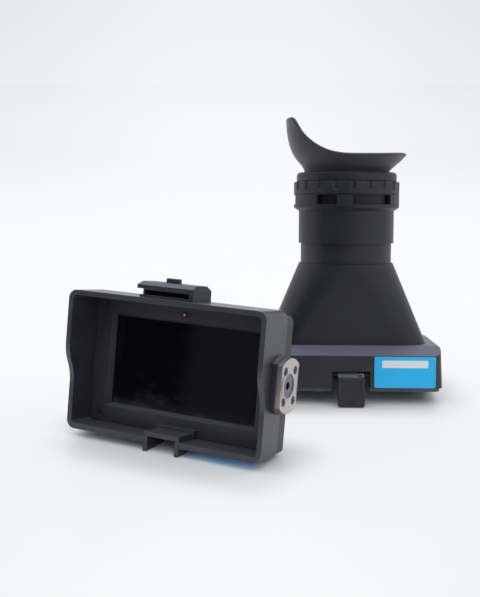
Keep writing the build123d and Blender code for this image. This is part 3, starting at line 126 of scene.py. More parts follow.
class Shading:
    """The node tree of one material or of the world."""

    def __init__(self, owner: bpy.types.Material | bpy.types.World) -> None:
        """Empties a node tree and takes it over.

        Args:
            owner: The material or the world that the tree belongs to.
        """
        owner.use_nodes = True
        self.tree = owner.node_tree
        self.tree.nodes.clear()

    def add(
        self,
        kind: str,
        settings: Mapping[str, Any] | None = None,
        inputs: Mapping[str | int, Any] | None = None,
    ) -> Node:
        """Adds one node.

        Args:
            kind: The node's type.
            settings: Its settings, by name.
            inputs: Values or links of its sockets, by name or number.

        Returns:
            The new node.
        """
        node = self.tree.nodes.new(kind)
        for key, setting in (settings or {}).items():
            setattr(node, key, setting)
        for key, given in (inputs or {}).items():
            if isinstance(given, Value):
                given = given.socket
            if isinstance(given, Socket):
                self.tree.links.new(given, node.inputs[key])
            else:
                node.inputs[key].default_value = given
        return node

    def surface(self, inputs: Mapping[str, Any]) -> Node:
        """Adds a surface shader with these values or links of its sockets."""
        return self.add("ShaderNodeBsdfPrincipled", inputs=inputs)

    def place(self) -> Socket:
        """The shaded point in the frame of the part, in metres."""
        return self.add("ShaderNodeTexCoord").outputs["Object"]

    def centred(self, pose: Matrix, centre: Point3) -> tuple[Value, Value, Value]:
        """The shaded point seen from a centre on the object, along its upright frame's axes.

        Args:
            pose: The pose of the upright frame.
            centre: The centre in that frame, in millimetres.

        Returns:
            Its three coordinates, in metres.
        """
        turned = pose.to_euler()
        about = self.add(
            "ShaderNodeMapping",
            {"vector_type": "TEXTURE"},
            {"Vector": self.place(), "Location": pose @ Vector(centre), "Rotation": turned},
        )
        split = self.add("ShaderNodeSeparateXYZ", inputs={0: about.outputs[0]})
        return tuple(Value(self, out) for out in split.outputs)

    def noise(
        self, feature: float, detail: float = 2.0, stretch: Point3 = (1.0, 1.0, 1.0)
    ) -> Value:
        """Adds a cloudy noise.

        Args:
            feature: The size of its features, in millimetres.
            detail: How many finer octaves it has.
            stretch: How much it is squeezed along each axis.

        Returns:
            A number from 0 to 1, about 0.5 in the middle.
        """
        where = self.add("ShaderNodeMapping", inputs={"Vector": self.place(), "Scale": stretch})
        node = self.add(
            "ShaderNodeTexNoise",
            inputs={
                "Vector": where.outputs[0],
                "Scale": 1.0 / (feature * MILLIMETRE),
                "Detail": detail,
            },
        )
        return Value(self, node.outputs[0])

    def from_foot(self, foot: Point, azimuth: float) -> tuple[Value, Value]:
        """The shaded point seen in plan from a foot point.

        Args:
            foot: The foot point, in metres.
            azimuth: A way from it, in degrees to the left of straight ahead.

        Returns:
            How far away it is, in metres, and how far off that way, as a share of it.
        """
        split = self.add("ShaderNodeSeparateXYZ", inputs={0: self.place()})
        x, y = (Value(self, split.outputs[k]) - foot[k] for k in range(2))
        away = x.hypotenuse(y)
        turn = math.radians(azimuth)
        aside = (x * math.cos(turn) + y * math.sin(turn)).size() / away
        return away, aside

    def beside(self, foot: Footprint) -> Value:
        """How far the shaded point lies outside a footprint.

        Args:
            foot: The footprint.

        Returns:
            The distance in plan, in metres, and 0 inside.
        """
        places = self.centred(foot.pose, foot.centre)[:2]
        across, deep = (
            (place.size() - half * MILLIMETRE).positive() for place, half in zip(places, foot.half)
        )
        return across.hypotenuse(deep)

    def blend(self, share: Value, low: Any, high: Any) -> Socket:
        """Mixes two colours.

        Args:
            share: How much of the second colour there is.
            low: The first colour, as numbers or a link.
            high: The second colour, as numbers or a link.

        Returns:
            The mixed colour.
        """
        low, high = ((*c, 1.0) if isinstance(c, tuple) else c for c in (low, high))
        mix = self.add("ShaderNodeMix", {"data_type": "RGBA"}, {0: share, 6: low, 7: high})
        return mix.outputs[2]

    def rounded_normal(self, radius: float) -> Socket:
        """A normal that turns smoothly over each edge, rounded by a radius in millimetres."""
        node = self.add("ShaderNodeBevel", {"samples": 4}, {"Radius": radius * MILLIMETRE})
        return node.outputs[0]

    def edge_share(self, rounded: Socket) -> Value:
        """How far a point lies on a rounded edge, from 0 on a flat to 1 on the edge."""
        flat = self.add("ShaderNodeNewGeometry").outputs["Normal"]
        dot = self.add("ShaderNodeVectorMath", {"operation": "DOT_PRODUCT"}, {0: rounded, 1: flat})
        return (1.0 - Value(self, dot.outputs["Value"])).ramp(0.02, 0.25)

    def upward(self) -> Value:
        """How much a face looks up, from 0 on a wall to 1 on a level face."""
        flat = self.add("ShaderNodeNewGeometry").outputs["Normal"]
        split = self.add("ShaderNodeSeparateXYZ", inputs={0: flat})
        return Value(self, split.outputs[2]).ramp(0.35, 0.95)

    def seen(self) -> Value:
        """Tells what is looked at from what gives light.

        Returns:
            1 where the camera looks, also by a mirror or through glass, and 0 for other light.
        """
        path = self.add("ShaderNodeLightPath").outputs
        kinds = ("Is Camera Ray", "Is Glossy Ray", "Is Transmission Ray")
        direct, mirrored, through = (Value(self, path[kind]) for kind in kinds)
        return direct + mirrored + through

    def glowing(self, tone: Socket) -> Node:
        """Makes a sheet that only glows, at a strength of 1.

        Args:
            tone: The colour of its glow.

        Returns:
            The shader's node.
        """
        return self.surface(
            {
                "Base Color": (*BLACK, 1.0),
                "Specular IOR Level": 0.0,
                "Emission Color": tone,
                "Emission Strength": 1.0,
            }
        )

    def bump(self, height: Value, depth: float, normal: Any) -> Socket:
        """Roughens a normal.

        Args:
            height: The height of the surface, from 0 to 1.
            depth: What a height of 1 is, in millimetres.
            normal: The normal to start from.

        Returns:
            The roughened normal.
        """
        node = self.add(
            "ShaderNodeBump",
            inputs={"Distance": depth * MILLIMETRE, "Height": height, "Normal": normal},
        )
        return node.outputs[0]


@dataclass(frozen=True)
class Value:
    """A number that changes over a surface. Arithmetic on it adds Math nodes."""

    shading: Shading
    socket: Socket

    def _math(self, operation: str, *terms: Value | float) -> Value:
        """Adds a Math node over the terms, or over this number, and gives its result."""
        inputs = dict(enumerate(terms or (self,)))
        node = self.shading.add("ShaderNodeMath", {"operation": operation}, inputs)
        return Value(self.shading, node.outputs[0])

    def __add__(self, other: Value | float) -> Value:
        """The sum."""
        return self._math("ADD", self, other)

    def __radd__(self, other: float) -> Value:
        """The sum with a number on the left."""
        return self._math("ADD", other, self)

    def __sub__(self, other: Value | float) -> Value:
        """The difference."""
        return self._math("SUBTRACT", self, other)

    def __rsub__(self, other: float) -> Value:
        """The difference from a number on the left."""
        return self._math("SUBTRACT", other, self)

    def __mul__(self, other: Value | float) -> Value:
        """The product."""
        return self._math("MULTIPLY", self, other)

    def __rmul__(self, other: float) -> Value:
        """The product with a number on the left."""
        return self._math("MULTIPLY", other, self)

    def __truediv__(self, other: Value | float) -> Value:
        """The quotient."""
        return self._math("DIVIDE", self, other)

    def positive(self) -> Value:
        """The number, or 0 where it is negative."""
        return self._math("MAXIMUM", self, 0.0)

    def hypotenuse(self, other: Value) -> Value:
        """The long side of the right triangle over this number and another."""
        return (self * self + other * other)._math("SQRT")

    def size(self) -> Value:
        """The number without its sign."""
        return self._math("ABSOLUTE")

    def ramp(self, low: float, high: float) -> Value:
        """Rises smoothly from 0 at low to 1 at high."""
        node = self.shading.add(
            "ShaderNodeMapRange",
            {"interpolation_type": "SMOOTHSTEP"},
            {"Value": self, "From Min": low, "From Max": high},
        )
        return Value(self.shading, node.outputs[0])


@dataclass(frozen=True)
class Finish:
    """A surface finish.

    Attributes:
        name: Its name in the maker's words.
        colour: Its main colour.
        roughness: Its mean roughness.
    """

    name: str
    colour: Colour
    roughness: float

    def lightened(self, share: float) -> Colour:
        """The main colour, moved towards a pale grey by a share."""
        return tuple(c + share * (0.6 - c) for c in self.colour)

    def shaded(self, factor: float) -> Colour:
        """The main colour times a factor."""
        return tuple(c * factor for c in self.colour)

    def mottled(self, shading: Shading, cloud: Value, dark: float, light: float) -> Socket:
        """The main colour, clouded.

        Args:
            shading: The tree to make it in.
            cloud: A cloudy number from 0 to 1.
            dark: The factor on the colour where it is darkest.
            light: The factor on the colour where it is lightest.

        Returns:
            The clouded colour.
        """
        return shading.blend(cloud.ramp(0.3, 0.7), self.shaded(dark), self.shaded(light))

    def shade(self, shading: Shading) -> Node:
        """Makes the shader.

        Args:
            shading: The tree to make it in.

        Returns:
            The shader's node.
        """
        raise NotImplementedError

    def material(self) -> bpy.types.Material:
        """Makes the material of this finish.

        Returns:
            The material.
        """
        material = bpy.data.materials.new(self.name)
        shading = Shading(material)
        shader = self.shade(shading)
        shading.add("ShaderNodeOutputMaterial", inputs={"Surface": shader.outputs[0]})
        return material


@dataclass(frozen=True)
class MouldedPlastic(Finish):
    """Satin plastic from a textured mould.

    Attributes:
        grain: Size of the moulded grain, in millimetres.
        depth: Depth of the grain, in millimetres.
        edge: Rounding of the edges, in millimetres.
        edge_wear_and_highlight: How much lighter a rubbed edge is, by wear and by a painted
            highlight.
        gloss: Strength of the mirror reflection, 0.5 for most plastics.
        dust_and_top_light: How strongly the faces that look up are paled, a painted top light.
    """

    grain: float = 0.35
    depth: float = 0.012
    edge: float = 0.3
    edge_wear_and_highlight: float = 0.03
    gloss: float = 0.5
    dust_and_top_light: float = 0.5

    def tint(self, shading: Shading, cloud: Value) -> Socket:
        """The colour before wear.

        Args:
            shading: The tree to make it in.
            cloud: A cloudy number from 0 to 1.

        Returns:
            The clouded colour.
        """
        return self.mottled(shading, cloud, dark=0.9, light=1.12)

    def shade(self, shading: Shading) -> Node:
        """Makes a grained plastic with faint clouding, rubbed edges with a painted highlight, a
        few fine scuffs and painted top light on the faces that look up.

        Args:
            shading: The tree to make it in.

        Returns:
            The shader's node.
        """
        cloud = shading.noise(9.0, detail=3.0)
        grain = shading.noise(self.grain)
        scuff = shading.noise(6.0, detail=6.0, stretch=(1.0, 6.0, 3.0)).ramp(0.7, 0.8)
        rounded = shading.rounded_normal(self.edge)
        edge = shading.edge_share(rounded)
        # Faces that look up are paled towards a fixed colour: painted top light.
        top_lit = shading.blend(self.dust_and_top_light * shading.upward(), self.tint(shading, cloud), PAINTED_TOP_LIGHT)
        # Edges and scuffs are lightened: wear, and on the edges a painted highlight too.
        worn_and_highlit = shading.blend(0.8 * edge + 0.3 * scuff, top_lit, self.lightened(self.edge_wear_and_highlight))
        return shading.surface(
            {
                "Base Color": worn_and_highlit,
                "Roughness": self.roughness + 0.12 * (cloud - 0.5) - 0.06 * edge,
                "Normal": shading.bump(grain, self.depth, rounded),
                "Specular IOR Level": self.gloss,
            }
        )


@dataclass(frozen=True)
class RingPlastic(MouldedPlastic):
    """The focus ring's plastic, with painted shade that makes it nearly black on the sleeve inside
    the window.

    Attributes:
        axis: A point on the optical axis, in millimetres.
        sleeve: Radii between which the painted shade ends, in millimetres.
    """

    axis: Point3 = (0.0, 29.0, 90.0)
    sleeve: Point = (25.2, 25.5)

    def tint(self, shading: Shading, cloud: Value) -> Socket:
        """Darkens the clouded colour near the optical axis with painted shade.

        Args:
            shading: The tree to make it in.
            cloud: A cloudy number from 0 to 1.

        Returns:
            The darkened colour.
        """
        # Painted shade: the sleeve inside the window is made nearly black.
        across, deep, _ = shading.centred(LOUPE_POSE, self.axis)
        outside = across.hypotenuse(deep).ramp(*(r * MILLIMETRE for r in self.sleeve))
        return shading.blend(outside, self.shaded(0.15), super().tint(shading, cloud))


@dataclass(frozen=True)
class SoftRubber(Finish):
    """Dull rubber with a powdery bloom.

    Attributes:
        bloom: How strong the bloom is.
    """

    bloom: float = 0.25

    def shade(self, shading: Shading) -> Node:
        """Makes a dull rubber with fine pores and a cloudy bloom.

        Args:
            shading: The tree to make it in.

        Returns:
            The shader's node.
        """
        cloud = shading.noise(14.0, detail=4.0)
        pores = shading.noise(0.25, detail=1.0)
        dust_and_top_light = shading.noise(1.1, detail=5.0).ramp(0.66, 0.78)
        tone = self.mottled(shading, cloud, dark=0.85, light=1.2)
        return shading.surface(
            {
                "Base Color": shading.blend(0.25 * dust_and_top_light, tone, self.lightened(0.12)),
                "Roughness": self.roughness + 0.1 * (cloud - 0.5),
                "Normal": shading.bump(pores, 0.01, shading.rounded_normal(0.3)),
                "Sheen Weight": self.bloom,
                "Sheen Roughness": 0.4,
            }
        )


class Lay(Enum):
    """The way the marks of the cutter or the rolls run on a metal."""

    ROLLED = (1.0, 1.0, 12.0)
    DRAWN = (12.0, 1.0, 1.0)
    BLASTED = (1.0, 1.0, 1.0)


@dataclass(frozen=True)
class Metal(Finish):
    """Bare or blackened metal.

    Attributes:
        lay: The way its marks run.
        metallic: 1 for bare metal, less under a black coat.
        mark: Size of the marks, in millimetres.
    """

    lay: Lay = Lay.BLASTED
    metallic: float = 1.0
    mark: float = 0.4

    def shade(self, shading: Shading) -> Node:
        """Makes a metal with fine marks and cloudy tarnish.

        Args:
            shading: The tree to make it in.

        Returns:
            The shader's node.
        """
        cloud = shading.noise(5.0, detail=3.0)
        marks = shading.noise(self.mark, detail=3.0, stretch=self.lay.value)
        rounded = shading.rounded_normal(0.15)
        edge = shading.edge_share(rounded)
        tone = self.mottled(shading, cloud, dark=0.88, light=1.06)
        return shading.surface(
            {
                "Base Color": shading.blend(0.5 * edge, tone, self.lightened(0.2)),
                "Metallic": self.metallic,
                "Roughness": self.roughness + 0.2 * (marks - 0.5),
                "Normal": shading.bump(marks, 0.006, rounded),
            }
        )


@dataclass(frozen=True)
class TurnedSteel(Finish):
    """Stainless steel faced on a lathe, so that fine rings run round its axis.

    Attributes:
        centre: A point on that axis, in the monitor's frame, in millimetres.
        feed: Size of the rings, in millimetres.
    """

    centre: Point3 = (49.0, -2.1, 31.7)
    feed: float = 0.2

    def shade(self, shading: Shading) -> Node:
        """Makes a warm grey steel with turned rings.

        Args:
            shading: The tree to make it in.

        Returns:
            The shader's node.
        """
        _, along, up = shading.centred(MONITOR_POSE, self.centre)
        rings = shading.add(
            "ShaderNodeTexNoise",
            {"noise_dimensions": "1D"},
            {"W": along.hypotenuse(up), "Scale": 1.0 / (self.feed * MILLIMETRE), "Detail": 3.0},
        )
        cut = Value(shading, rings.outputs[0])
        cloud = shading.noise(3.0, detail=3.0)
        rounded = shading.rounded_normal(0.12)
        tone = shading.blend(0.5 * cloud + 0.5 * cut, self.shaded(0.8), self.shaded(1.12))
        return shading.surface(
            {
                "Base Color": tone,
                "Metallic": 1.0,
                "Roughness": self.roughness + 0.15 * (cloud - 0.5),
                "Normal": shading.bump(cut, 0.008, rounded),
            }
        )


@dataclass(frozen=True)
class CoverGlass(Finish):
    """Black-backed glass over the display, with faint finger marks.

    Attributes:
        centre: The middle of the picture area, in the monitor's frame, in millimetres.
        wide: Half widths between which the picture area ends, in millimetres.
        high: Half heights between which it ends, in millimetres.
    """

    centre: Point3 = (0.0, 0.0, 31.4)
    wide: Point = (35.2, 35.6)
    high: Point = (19.6, 20.0)

    def shade(self, shading: Shading) -> Node:
        """Makes a glossy black glass, a little greyer over the picture area.

        Args:
            shading: The tree to make it in.

        Returns:
            The shader's node.
        """
        across, _, up = shading.centred(MONITOR_POSE, self.centre)
        beyond = across.size().ramp(*(x * MILLIMETRE for x in self.wide))
        above = up.size().ramp(*(z * MILLIMETRE for z in self.high))
        inside = (1.0 - beyond) * (1.0 - above)
        smear = shading.noise(11.0, detail=5.0, stretch=(1.0, 1.0, 2.0)).ramp(0.5, 0.75)
        return shading.surface(
            {
                "Base Color": shading.blend(inside, self.shaded(0.4), self.colour),
                "Roughness": self.roughness + 0.1 * smear,
                "Normal": shading.bump(shading.noise(3.0), 0.0004, shading.rounded_normal(0.1)),
            }
        )


@dataclass(frozen=True)
class LensGlass(Finish):
    """Clear lens glass with a thin purple-green coating.

    Attributes:
        green: Its colour where the coating looks green.
    """

    green: Colour = (0.75, 0.95, 0.85)

    def shade(self, shading: Shading) -> Node:
        """Makes a clear glass whose coating tints what it reflects.

        Args:
            shading: The tree to make it in.

        Returns:
            The shader's node.
        """
        cloud = shading.noise(7.0)
        tint = shading.blend(cloud.ramp(0.3, 0.7), self.colour, self.green)
        return shading.surface(
            {
                "Base Color": tint,
                "Roughness": self.roughness + 0.02 * cloud,
                "Transmission Weight": 1.0,
                "IOR": 1.52,
                "Thin Film Thickness": 420.0,
                "Thin Film IOR": 1.38,
            }
        )


@dataclass(frozen=True)
class LampLens(Finish):
    """The red plastic dome of the indicator lamp.

    Attributes:
        centre: A point on its axis, in the monitor's frame, in millimetres.
        middle: Radii between which the painted highlight in the middle ends, in millimetres.
        highlight_colour: The colour of the painted highlight in the middle.
        glow: The colour that the middle glows in, part of the painted highlight.
    """

    centre: Point3 = (0.0, 0.0, 55.3)
    middle: Point = (0.2, 0.7)
    highlight_colour: Colour = (0.8, 0.3, 0.4)
    glow: Colour = (0.8, 0.25, 0.4)

    def shade(self, shading: Shading) -> Node:
        """Makes a deep red dome with a painted highlight in its middle, in its colour and in a
        glow.

        Args:
            shading: The tree to make it in.

        Returns:
            The shader's node.
        """
        across, _, up = shading.centred(MONITOR_POSE, self.centre)
        # Painted highlight: the middle is paler and glows a little.
        middle = 1.0 - across.hypotenuse(up).ramp(*(r * MILLIMETRE for r in self.middle))
        cloud = shading.noise(0.6)
        return shading.surface(
            {
                "Base Color": shading.blend(middle * cloud, self.colour, self.highlight_colour),
                "Roughness": self.roughness + 0.08 * cloud,
                "Emission Color": shading.blend(middle, BLACK, self.glow),
                "Emission Strength": 0.3,
                "Coat Weight": 1.0,
            }
        )


@dataclass(frozen=True)
class PrintedFilm(Finish):
    """Printed label film, plain, with the dots of the print and a soft gloss.

    Attributes:
        cut: The colour of its cut edge.
    """

    cut: Colour = (0.75, 0.8, 0.85)

    def shade(self, shading: Shading) -> Node:
        """Makes a printed film with faint print dots, creases and a paler cut edge.

        Args:
            shading: The tree to make it in.

        Returns:
            The shader's node.
        """
        dots = shading.noise(0.18, detail=1.0)
        cloud = shading.noise(12.0, detail=3.0)
        crease = shading.noise(4.0, stretch=(1.0, 1.0, 3.0))
        pale = tuple(min(c, 0.9) for c in self.shaded(1.06))
        tone = shading.blend(0.6 * cloud + 0.4 * dots, self.shaded(0.93), pale)
        rounded = shading.rounded_normal(0.12)
        edge = shading.edge_share(rounded)
        return shading.surface(
            {
                "Base Color": shading.blend(0.6 * edge, tone, self.cut),
                "Roughness": self.roughness + 0.15 * (cloud - 0.5),
                "Normal": shading.bump(crease, 0.03, rounded),
            }
        )


@dataclass(frozen=True)
class CircuitBoard(Finish):
    """Green board with copper tracks under the lacquer.

    Attributes:
        track: The colour of the tracks.
        scale: How many rows of pads there are in a metre.
    """

    track: Colour = (0.05, 0.16, 0.05)
    scale: float = 260.0

    def shade(self, shading: Shading) -> Node:
        """Makes a lacquered board with paler tracks.

        Args:
            shading: The tree to make it in.

        Returns:
            The shader's node.
        """
        cells = shading.add(
            "ShaderNodeTexBrick",
            {"offset": 0.3},
            {
                "Vector": shading.place(),
                "Scale": self.scale,
                "Color1": (*self.colour, 1.0),
                "Color2": (*self.shaded(0.7), 1.0),
                "Mortar": (*self.track, 1.0),
                "Mortar Size": 0.03,
            },
        )
        return shading.surface(
            {
                "Base Color": cells.outputs[0],
                "Roughness": self.roughness + 0.1 * shading.noise(2.0),
                "Coat Weight": 0.6,
            }
        )


class Finishes:
    """Every finish of the viewfinder, each made once."""

    plastics: dict[str, Finish] = {
        "hood": MouldedPlastic("hood plastic", (0.026, 0.027, 0.039), 0.36, gloss=0.8),
        "case": MouldedPlastic("case plastic", (0.016, 0.0167, 0.026), 0.42),
        "bezel": MouldedPlastic("bezel plastic", (0.024, 0.0246, 0.035), 0.4, grain=0.3),
        "shoe": MouldedPlastic("shoe plastic", (0.024, 0.025, 0.035), 0.42, grain=0.2, dust_and_top_light=1.0),
        "keys": MouldedPlastic("key plastic", (0.03, 0.031, 0.038), 0.5, grain=0.2, edge=0.4),
        "chips": MouldedPlastic("chip plastic", (0.012, 0.012, 0.013), 0.5, grain=0.15, edge=0.1),
        "loupe": MouldedPlastic(
            "loupe plastic", (0.0118, 0.012, 0.0225), 0.46, gloss=0.4, dust_and_top_light=0.1
        ),
        "base": MouldedPlastic("base plastic", (0.015, 0.0152, 0.0255), 0.44, dust_and_top_light=1.0),
        "ring": RingPlastic("ring plastic", (0.014, 0.0148, 0.0265), 0.46, gloss=0.4, dust_and_top_light=0.2),
    }
    others: dict[str, Finish] = {
        "glass": CoverGlass("cover glass", (0.0022, 0.0024, 0.0042), 0.05),
        "panel": CoverGlass("display film", (0.01, 0.01, 0.012), 0.2),
        "tray": Metal("tray metal", (0.5, 0.5, 0.51), 0.4, Lay.ROLLED),
        "board": CircuitBoard("circuit board", (0.01, 0.09, 0.03), 0.3),
        "lamp": LampLens("lamp red", (0.11, 0.006, 0.022), 0.12),
        "black": Metal("blackened metal", (0.03, 0.0305, 0.038), 0.42, metallic=0.35),
        "rosette": TurnedSteel("rosette steel", (0.55, 0.505, 0.485), 0.36),
        "hub": Metal("hub metal", (0.2, 0.205, 0.22), 0.38),
        "screws": Metal("screw steel", (0.3, 0.295, 0.29), 0.33, Lay.DRAWN, mark=0.2),
        "brass": Metal("insert brass", (0.62, 0.45, 0.2), 0.32, Lay.DRAWN),
        "sockets": Metal("socket metal", (0.6, 0.6, 0.6), 0.25, Lay.ROLLED),
        "spring": Metal("spring steel", (0.5, 0.5, 0.5), 0.28, Lay.DRAWN, mark=0.15),
        "seal": SoftRubber("seal rubber", (0.075, 0.078, 0.084), 0.62, 0.15),
        "cup": SoftRubber("cup rubber", (0.017, 0.0175, 0.0255), 0.6, 0.3),
        "lens": LensGlass("lens glass", (0.9, 0.86, 0.98), 0.01),
        "blue": PrintedFilm("blue label film", (0.0, 0.45, 0.86), 0.42),
        "white": PrintedFilm("white label panel", (0.72, 0.76, 0.8), 0.42),
    }

    def __init__(self, nodes: Mapping[str, bpy.types.Object]) -> None:
        """Makes the materials of all the finishes.

        Args:
            nodes: The CAD nodes by name, which the finishes go on.
        """
        self.nodes = nodes
        finishes = {**self.plastics, **self.others}
        self.made = {key: finish.material() for key, finish in finishes.items()}

    def dress(self, kind: str, *names: str) -> None:
        """Gives CAD nodes a finish.

        Args:
            kind: The finish.
            names: The nodes that take it.
        """
        for name in names:
            mesh = self.nodes[name].data
            mesh.materials.clear()
            mesh.materials.append(self.made[kind])
            LOG.info("%s: %s", name, self.made[kind].name)

    def finish_piece(self, piece: bpy.types.Object, kind: str) -> None:
        """Gives a new piece a finish."""
        piece.data.materials.append(self.made[kind])


def make_piece(
    name: str, shape: bmesh.types.BMesh, pose: Matrix, body: Body
) -> bpy.types.Object:
    """Turns a shape into a piece of the object.

    Args:
        name: The piece's name.
        shape: Its shape in the upright frame, in millimetres. It is freed.
        pose: The pose of that frame.
        body: The body that it rides on.

    Returns:
        The piece.
    """
    bmesh.ops.transform(shape, matrix=pose, verts=shape.verts)
    mesh = bpy.data.meshes.new(name)
    shape.to_mesh(mesh)
    shape.free()
    mesh.shade_smooth()
    piece = bpy.data.objects.new(name, mesh)
    bpy.context.scene.collection.objects.link(piece)
    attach(piece, body.value)
    LOG.info("%s rides on %s", name, body.value)
    return piece


def bearing(vert: bmesh.types.BMVert) -> float:
    """The angle of a vertex round the upright axis."""
    return math.atan2(vert.co.y, vert.co.x)


def draw_edges(
    shape: bmesh.types.BMesh, ring: Sequence[bmesh.types.BMVert]
) -> list[bmesh.types.BMVert]:
    """Draws new edges out of an open ring of edges, with faces between them.

    Args:
        shape: The shape that the ring is in.
        ring: The ring's vertices.

    Returns:
        The vertices of the new ring, in the old ring's places.
    """
    near = (edge for vert in ring for edge in vert.link_edges)
    edges = list(dict.fromkeys(edge for edge in near if edge.is_boundary or edge.is_wire))
    drawn = bmesh.ops.extrude_edge_only(shape, edges=edges)["geom"]
    return [part for part in drawn if isinstance(part, bmesh.types.BMVert)]


def curve_height(points: Sequence[Point], at: float) -> float:
    """Reads a smooth curve through points.

    Args:
        points: The points, in rising order of their first number.
        at: Where to read it.

    Returns:
        The second number there, held level past either end.
    """
    if at <= points[0][0]:
        return points[0][1]
    if at >= points[-1][0]:
        return points[-1][1]
    last = len(points) - 1
    i = max(k for k in range(last) if points[k][0] <= at)
    (x0, y0), (x1, y1) = points[i], points[i + 1]
    slopes = [
        (points[min(k + 1, last)][1] - points[max(k - 1, 0)][1])
        / (points[min(k + 1, last)][0] - points[max(k - 1, 0)][0])
        for k in (i, i + 1)
    ]
    t, width = (at - x0) / (x1 - x0), x1 - x0
    return (
        (2 * t**3 - 3 * t**2 + 1) * y0
        + (t**3 - 2 * t**2 + t) * width * slopes[0]
        + (3 * t**2 - 2 * t**3) * y1
        + (t**3 - t**2) * width * slopes[1]
    )


@dataclass
class Eyecup:
    """The winged rubber cup, in the loupe's upright frame.

    Attributes:
        axis_y: Where the optical axis stands, front to back.
        seat: Height of the cup's foot in its collar.
        outline: The outside's height and radius on the wing's side, from the collar up.
        flare: The outside's height and radius on the low side, from the collar up.
        rim: How high the rim stands over each place across the cup, wing on the left.
        wall: Thickness of the rubber.
        columns: Steps round the cup.
        rows: Steps up the cup.
        halvings: How often the search for the rim's height halves its span.
        headroom: How far over the outline that search goes on.
    """

    axis_y: float = 29.0
    seat: float = 104.0
    outline: tuple[Point, ...] = (
        (107.5, 21.25),
        (109.0, 21.7),
        (111.1, 23.1),
        (115.0, 26.4),
        (120.4, 28.9),
        (126.7, 30.3),
        (134.4, 30.9),
    )
    flare: tuple[Point, ...] = (
        (107.5, 21.25),
        (108.8, 22.3),
        (110.6, 24.4),
        (113.4, 27.5),
        (116.3, 30.1),
        (121.0, 32.0),
        (134.4, 32.5),
    )
    rim: tuple[Point, ...] = (
        (-30.9, 134.2),
        (-29.2, 134.3),
        (-27.9, 133.4),
        (-24.2, 126.9),
        (-20.3, 122.6),
        (-15.9, 119.3),
        (-10.6, 116.8),
        (-4.7, 115.4),
        (1.2, 115.0),
        (14.0, 115.1),
        (22.0, 115.5),
        (31.0, 116.4),
    )
    wall: float = 1.7
    columns: int = 144
    rows: int = 22
    halvings: int = 40
    headroom: float = 0.6

    def radius(self, angle: float, height: float) -> float:
        """The outside's radius.

        Args:
            angle: The angle round the axis, 0 being the low side.
            height: The height, in millimetres.

        Returns:
            The radius there, in millimetres.
        """
        share = (1.0 + math.cos(angle)) / 2
        wing, low = curve_height(self.outline, height), curve_height(self.flare, height)
        return wing + share * (low - wing)

    def rim_height(self, angle: float) -> float:
        """How high the rim stands, found by halving.

        Args:
            angle: The angle round the axis, 0 being the low side.

        Returns:
            The height, in millimetres.
        """
        low, high = self.outline[0][0], self.outline[-1][0] + self.headroom
        for _ in range(self.halvings):
            middle = (low + high) / 2
            across = self.radius(angle, middle) * math.cos(angle)
            if curve_height(self.rim, across) > middle:
                low = middle
            else:
                high = middle
        return low

    def shell(self) -> bmesh.types.BMesh:
        """Makes the cup: rings drawn up from the foot to the rim, and a wall behind them.

        Returns:
            The cup in its upright frame, in millimetres.
        """
        shape = bmesh.new()
        start, foot = self.outline[0]
        circle = bmesh.ops.create_circle(shape, segments=self.columns, radius=foot)["verts"]
        bmesh.ops.translate(shape, verts=circle, vec=(0.0, 0.0, self.seat))
        ring = sorted(circle, key=bearing)
        angles = [bearing(vert) for vert in ring]
        rims = [self.rim_height(angle) for angle in angles]
        for row in range(self.rows + 1):
            ring = sorted(draw_edges(shape, ring), key=bearing)
            for vert, angle, rim in zip(ring, angles, rims):
                height = start + (rim - start) * row / self.rows
                reach = self.radius(angle, height)
                vert.co = (reach * math.cos(angle), reach * math.sin(angle), height)
        bmesh.ops.recalc_face_normals(shape, faces=shape.faces)
        bmesh.ops.solidify(shape, geom=shape.faces[:], thickness=self.wall)
        bmesh.ops.recalc_face_normals(shape, faces=shape.faces)
        bmesh.ops.translate(shape, verts=shape.verts, vec=(0.0, self.axis_y, 0.0))
        return shape

    def build(self, finishes: Finishes) -> None:
        """Makes the cup, rounds its lip and puts it in the CAD cup's place.

        Args:
            finishes: The finishes to dress it from.
        """
        piece = make_piece("eyecup_rubber", self.shell(), LOUPE_POSE, Body.EYECUP)
        smooth = piece.modifiers.new("rounded lip", "SUBSURF")
        smooth.levels = smooth.render_levels = 1
        finishes.finish_piece(piece, "cup")
        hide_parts("eyecup")


@dataclass
class Monitor:
    """The hooded monitor: which finish each of its nodes takes."""

    finishes: Finishes

    def dress(self) -> None:
        """Dresses the housing, the display stack, the controls, the sockets and the screws."""
        dress = self.finishes.dress
        dress("hood", "sun_hood", "latch_keeper")
        dress("case", "rear_case", "tripod_plate", "power_switch_body")
        dress("bezel", "screen_bezel")
        dress("shoe", "shoe_body", "shoe_lid", "release_button", "rosette_base")
        dress("glass", "display_glass")
        dress("panel", "lcd_panel")
        dress("tray", "backlight_tray")
        dress("board", "main_board")
        dress("chips", "board_chips", "key_switches")
        dress("lamp", "tally_lamp")
        dress("rosette", "rosette_plate")
        dress("hub", "rosette_hub", "board_spacers")
        dress("screws", "plate_screws", "shoe_screws")
        dress("black", "bezel_screws", "rosette_screws")
        dress("brass", "tripod_insert")
        dress("sockets", "audio_socket", "power_socket", "video_socket", "dial_encoder")
        dress("spring", "button_spring")
        dress("keys", *(f"key_{n}" for n in range(1, 5)), "menu_dial", "power_slider")
        dress("blue", "base_label")


@dataclass
class Loupe:
    """The loupe: which finish each of its nodes takes."""

    finishes: Finishes

    def dress(self) -> None:
        """Dresses the shell, the rings, the lens cell, its lenses and the small metal pieces."""
        dress = self.finishes.dress
        dress("loupe", "loupe_cone", "neck_tube", "window_ring", "eyecup_collar")
        dress("base", "base_frame", "latch_clip", "hook_plate")
        dress("ring", "focus_ring")
        dress("seal", "rim_seal")
        dress("blue", "loupe_label")
        dress("white", "label_panel")
        dress("black", "lens_cell", "lens_retainer", "lens_spacer", "latch_pin")
        dress("lens", "eye_lens", "field_lens")
        dress("screws", "drive_pins", "hook_screws")
        dress("spring", "latch_spring")


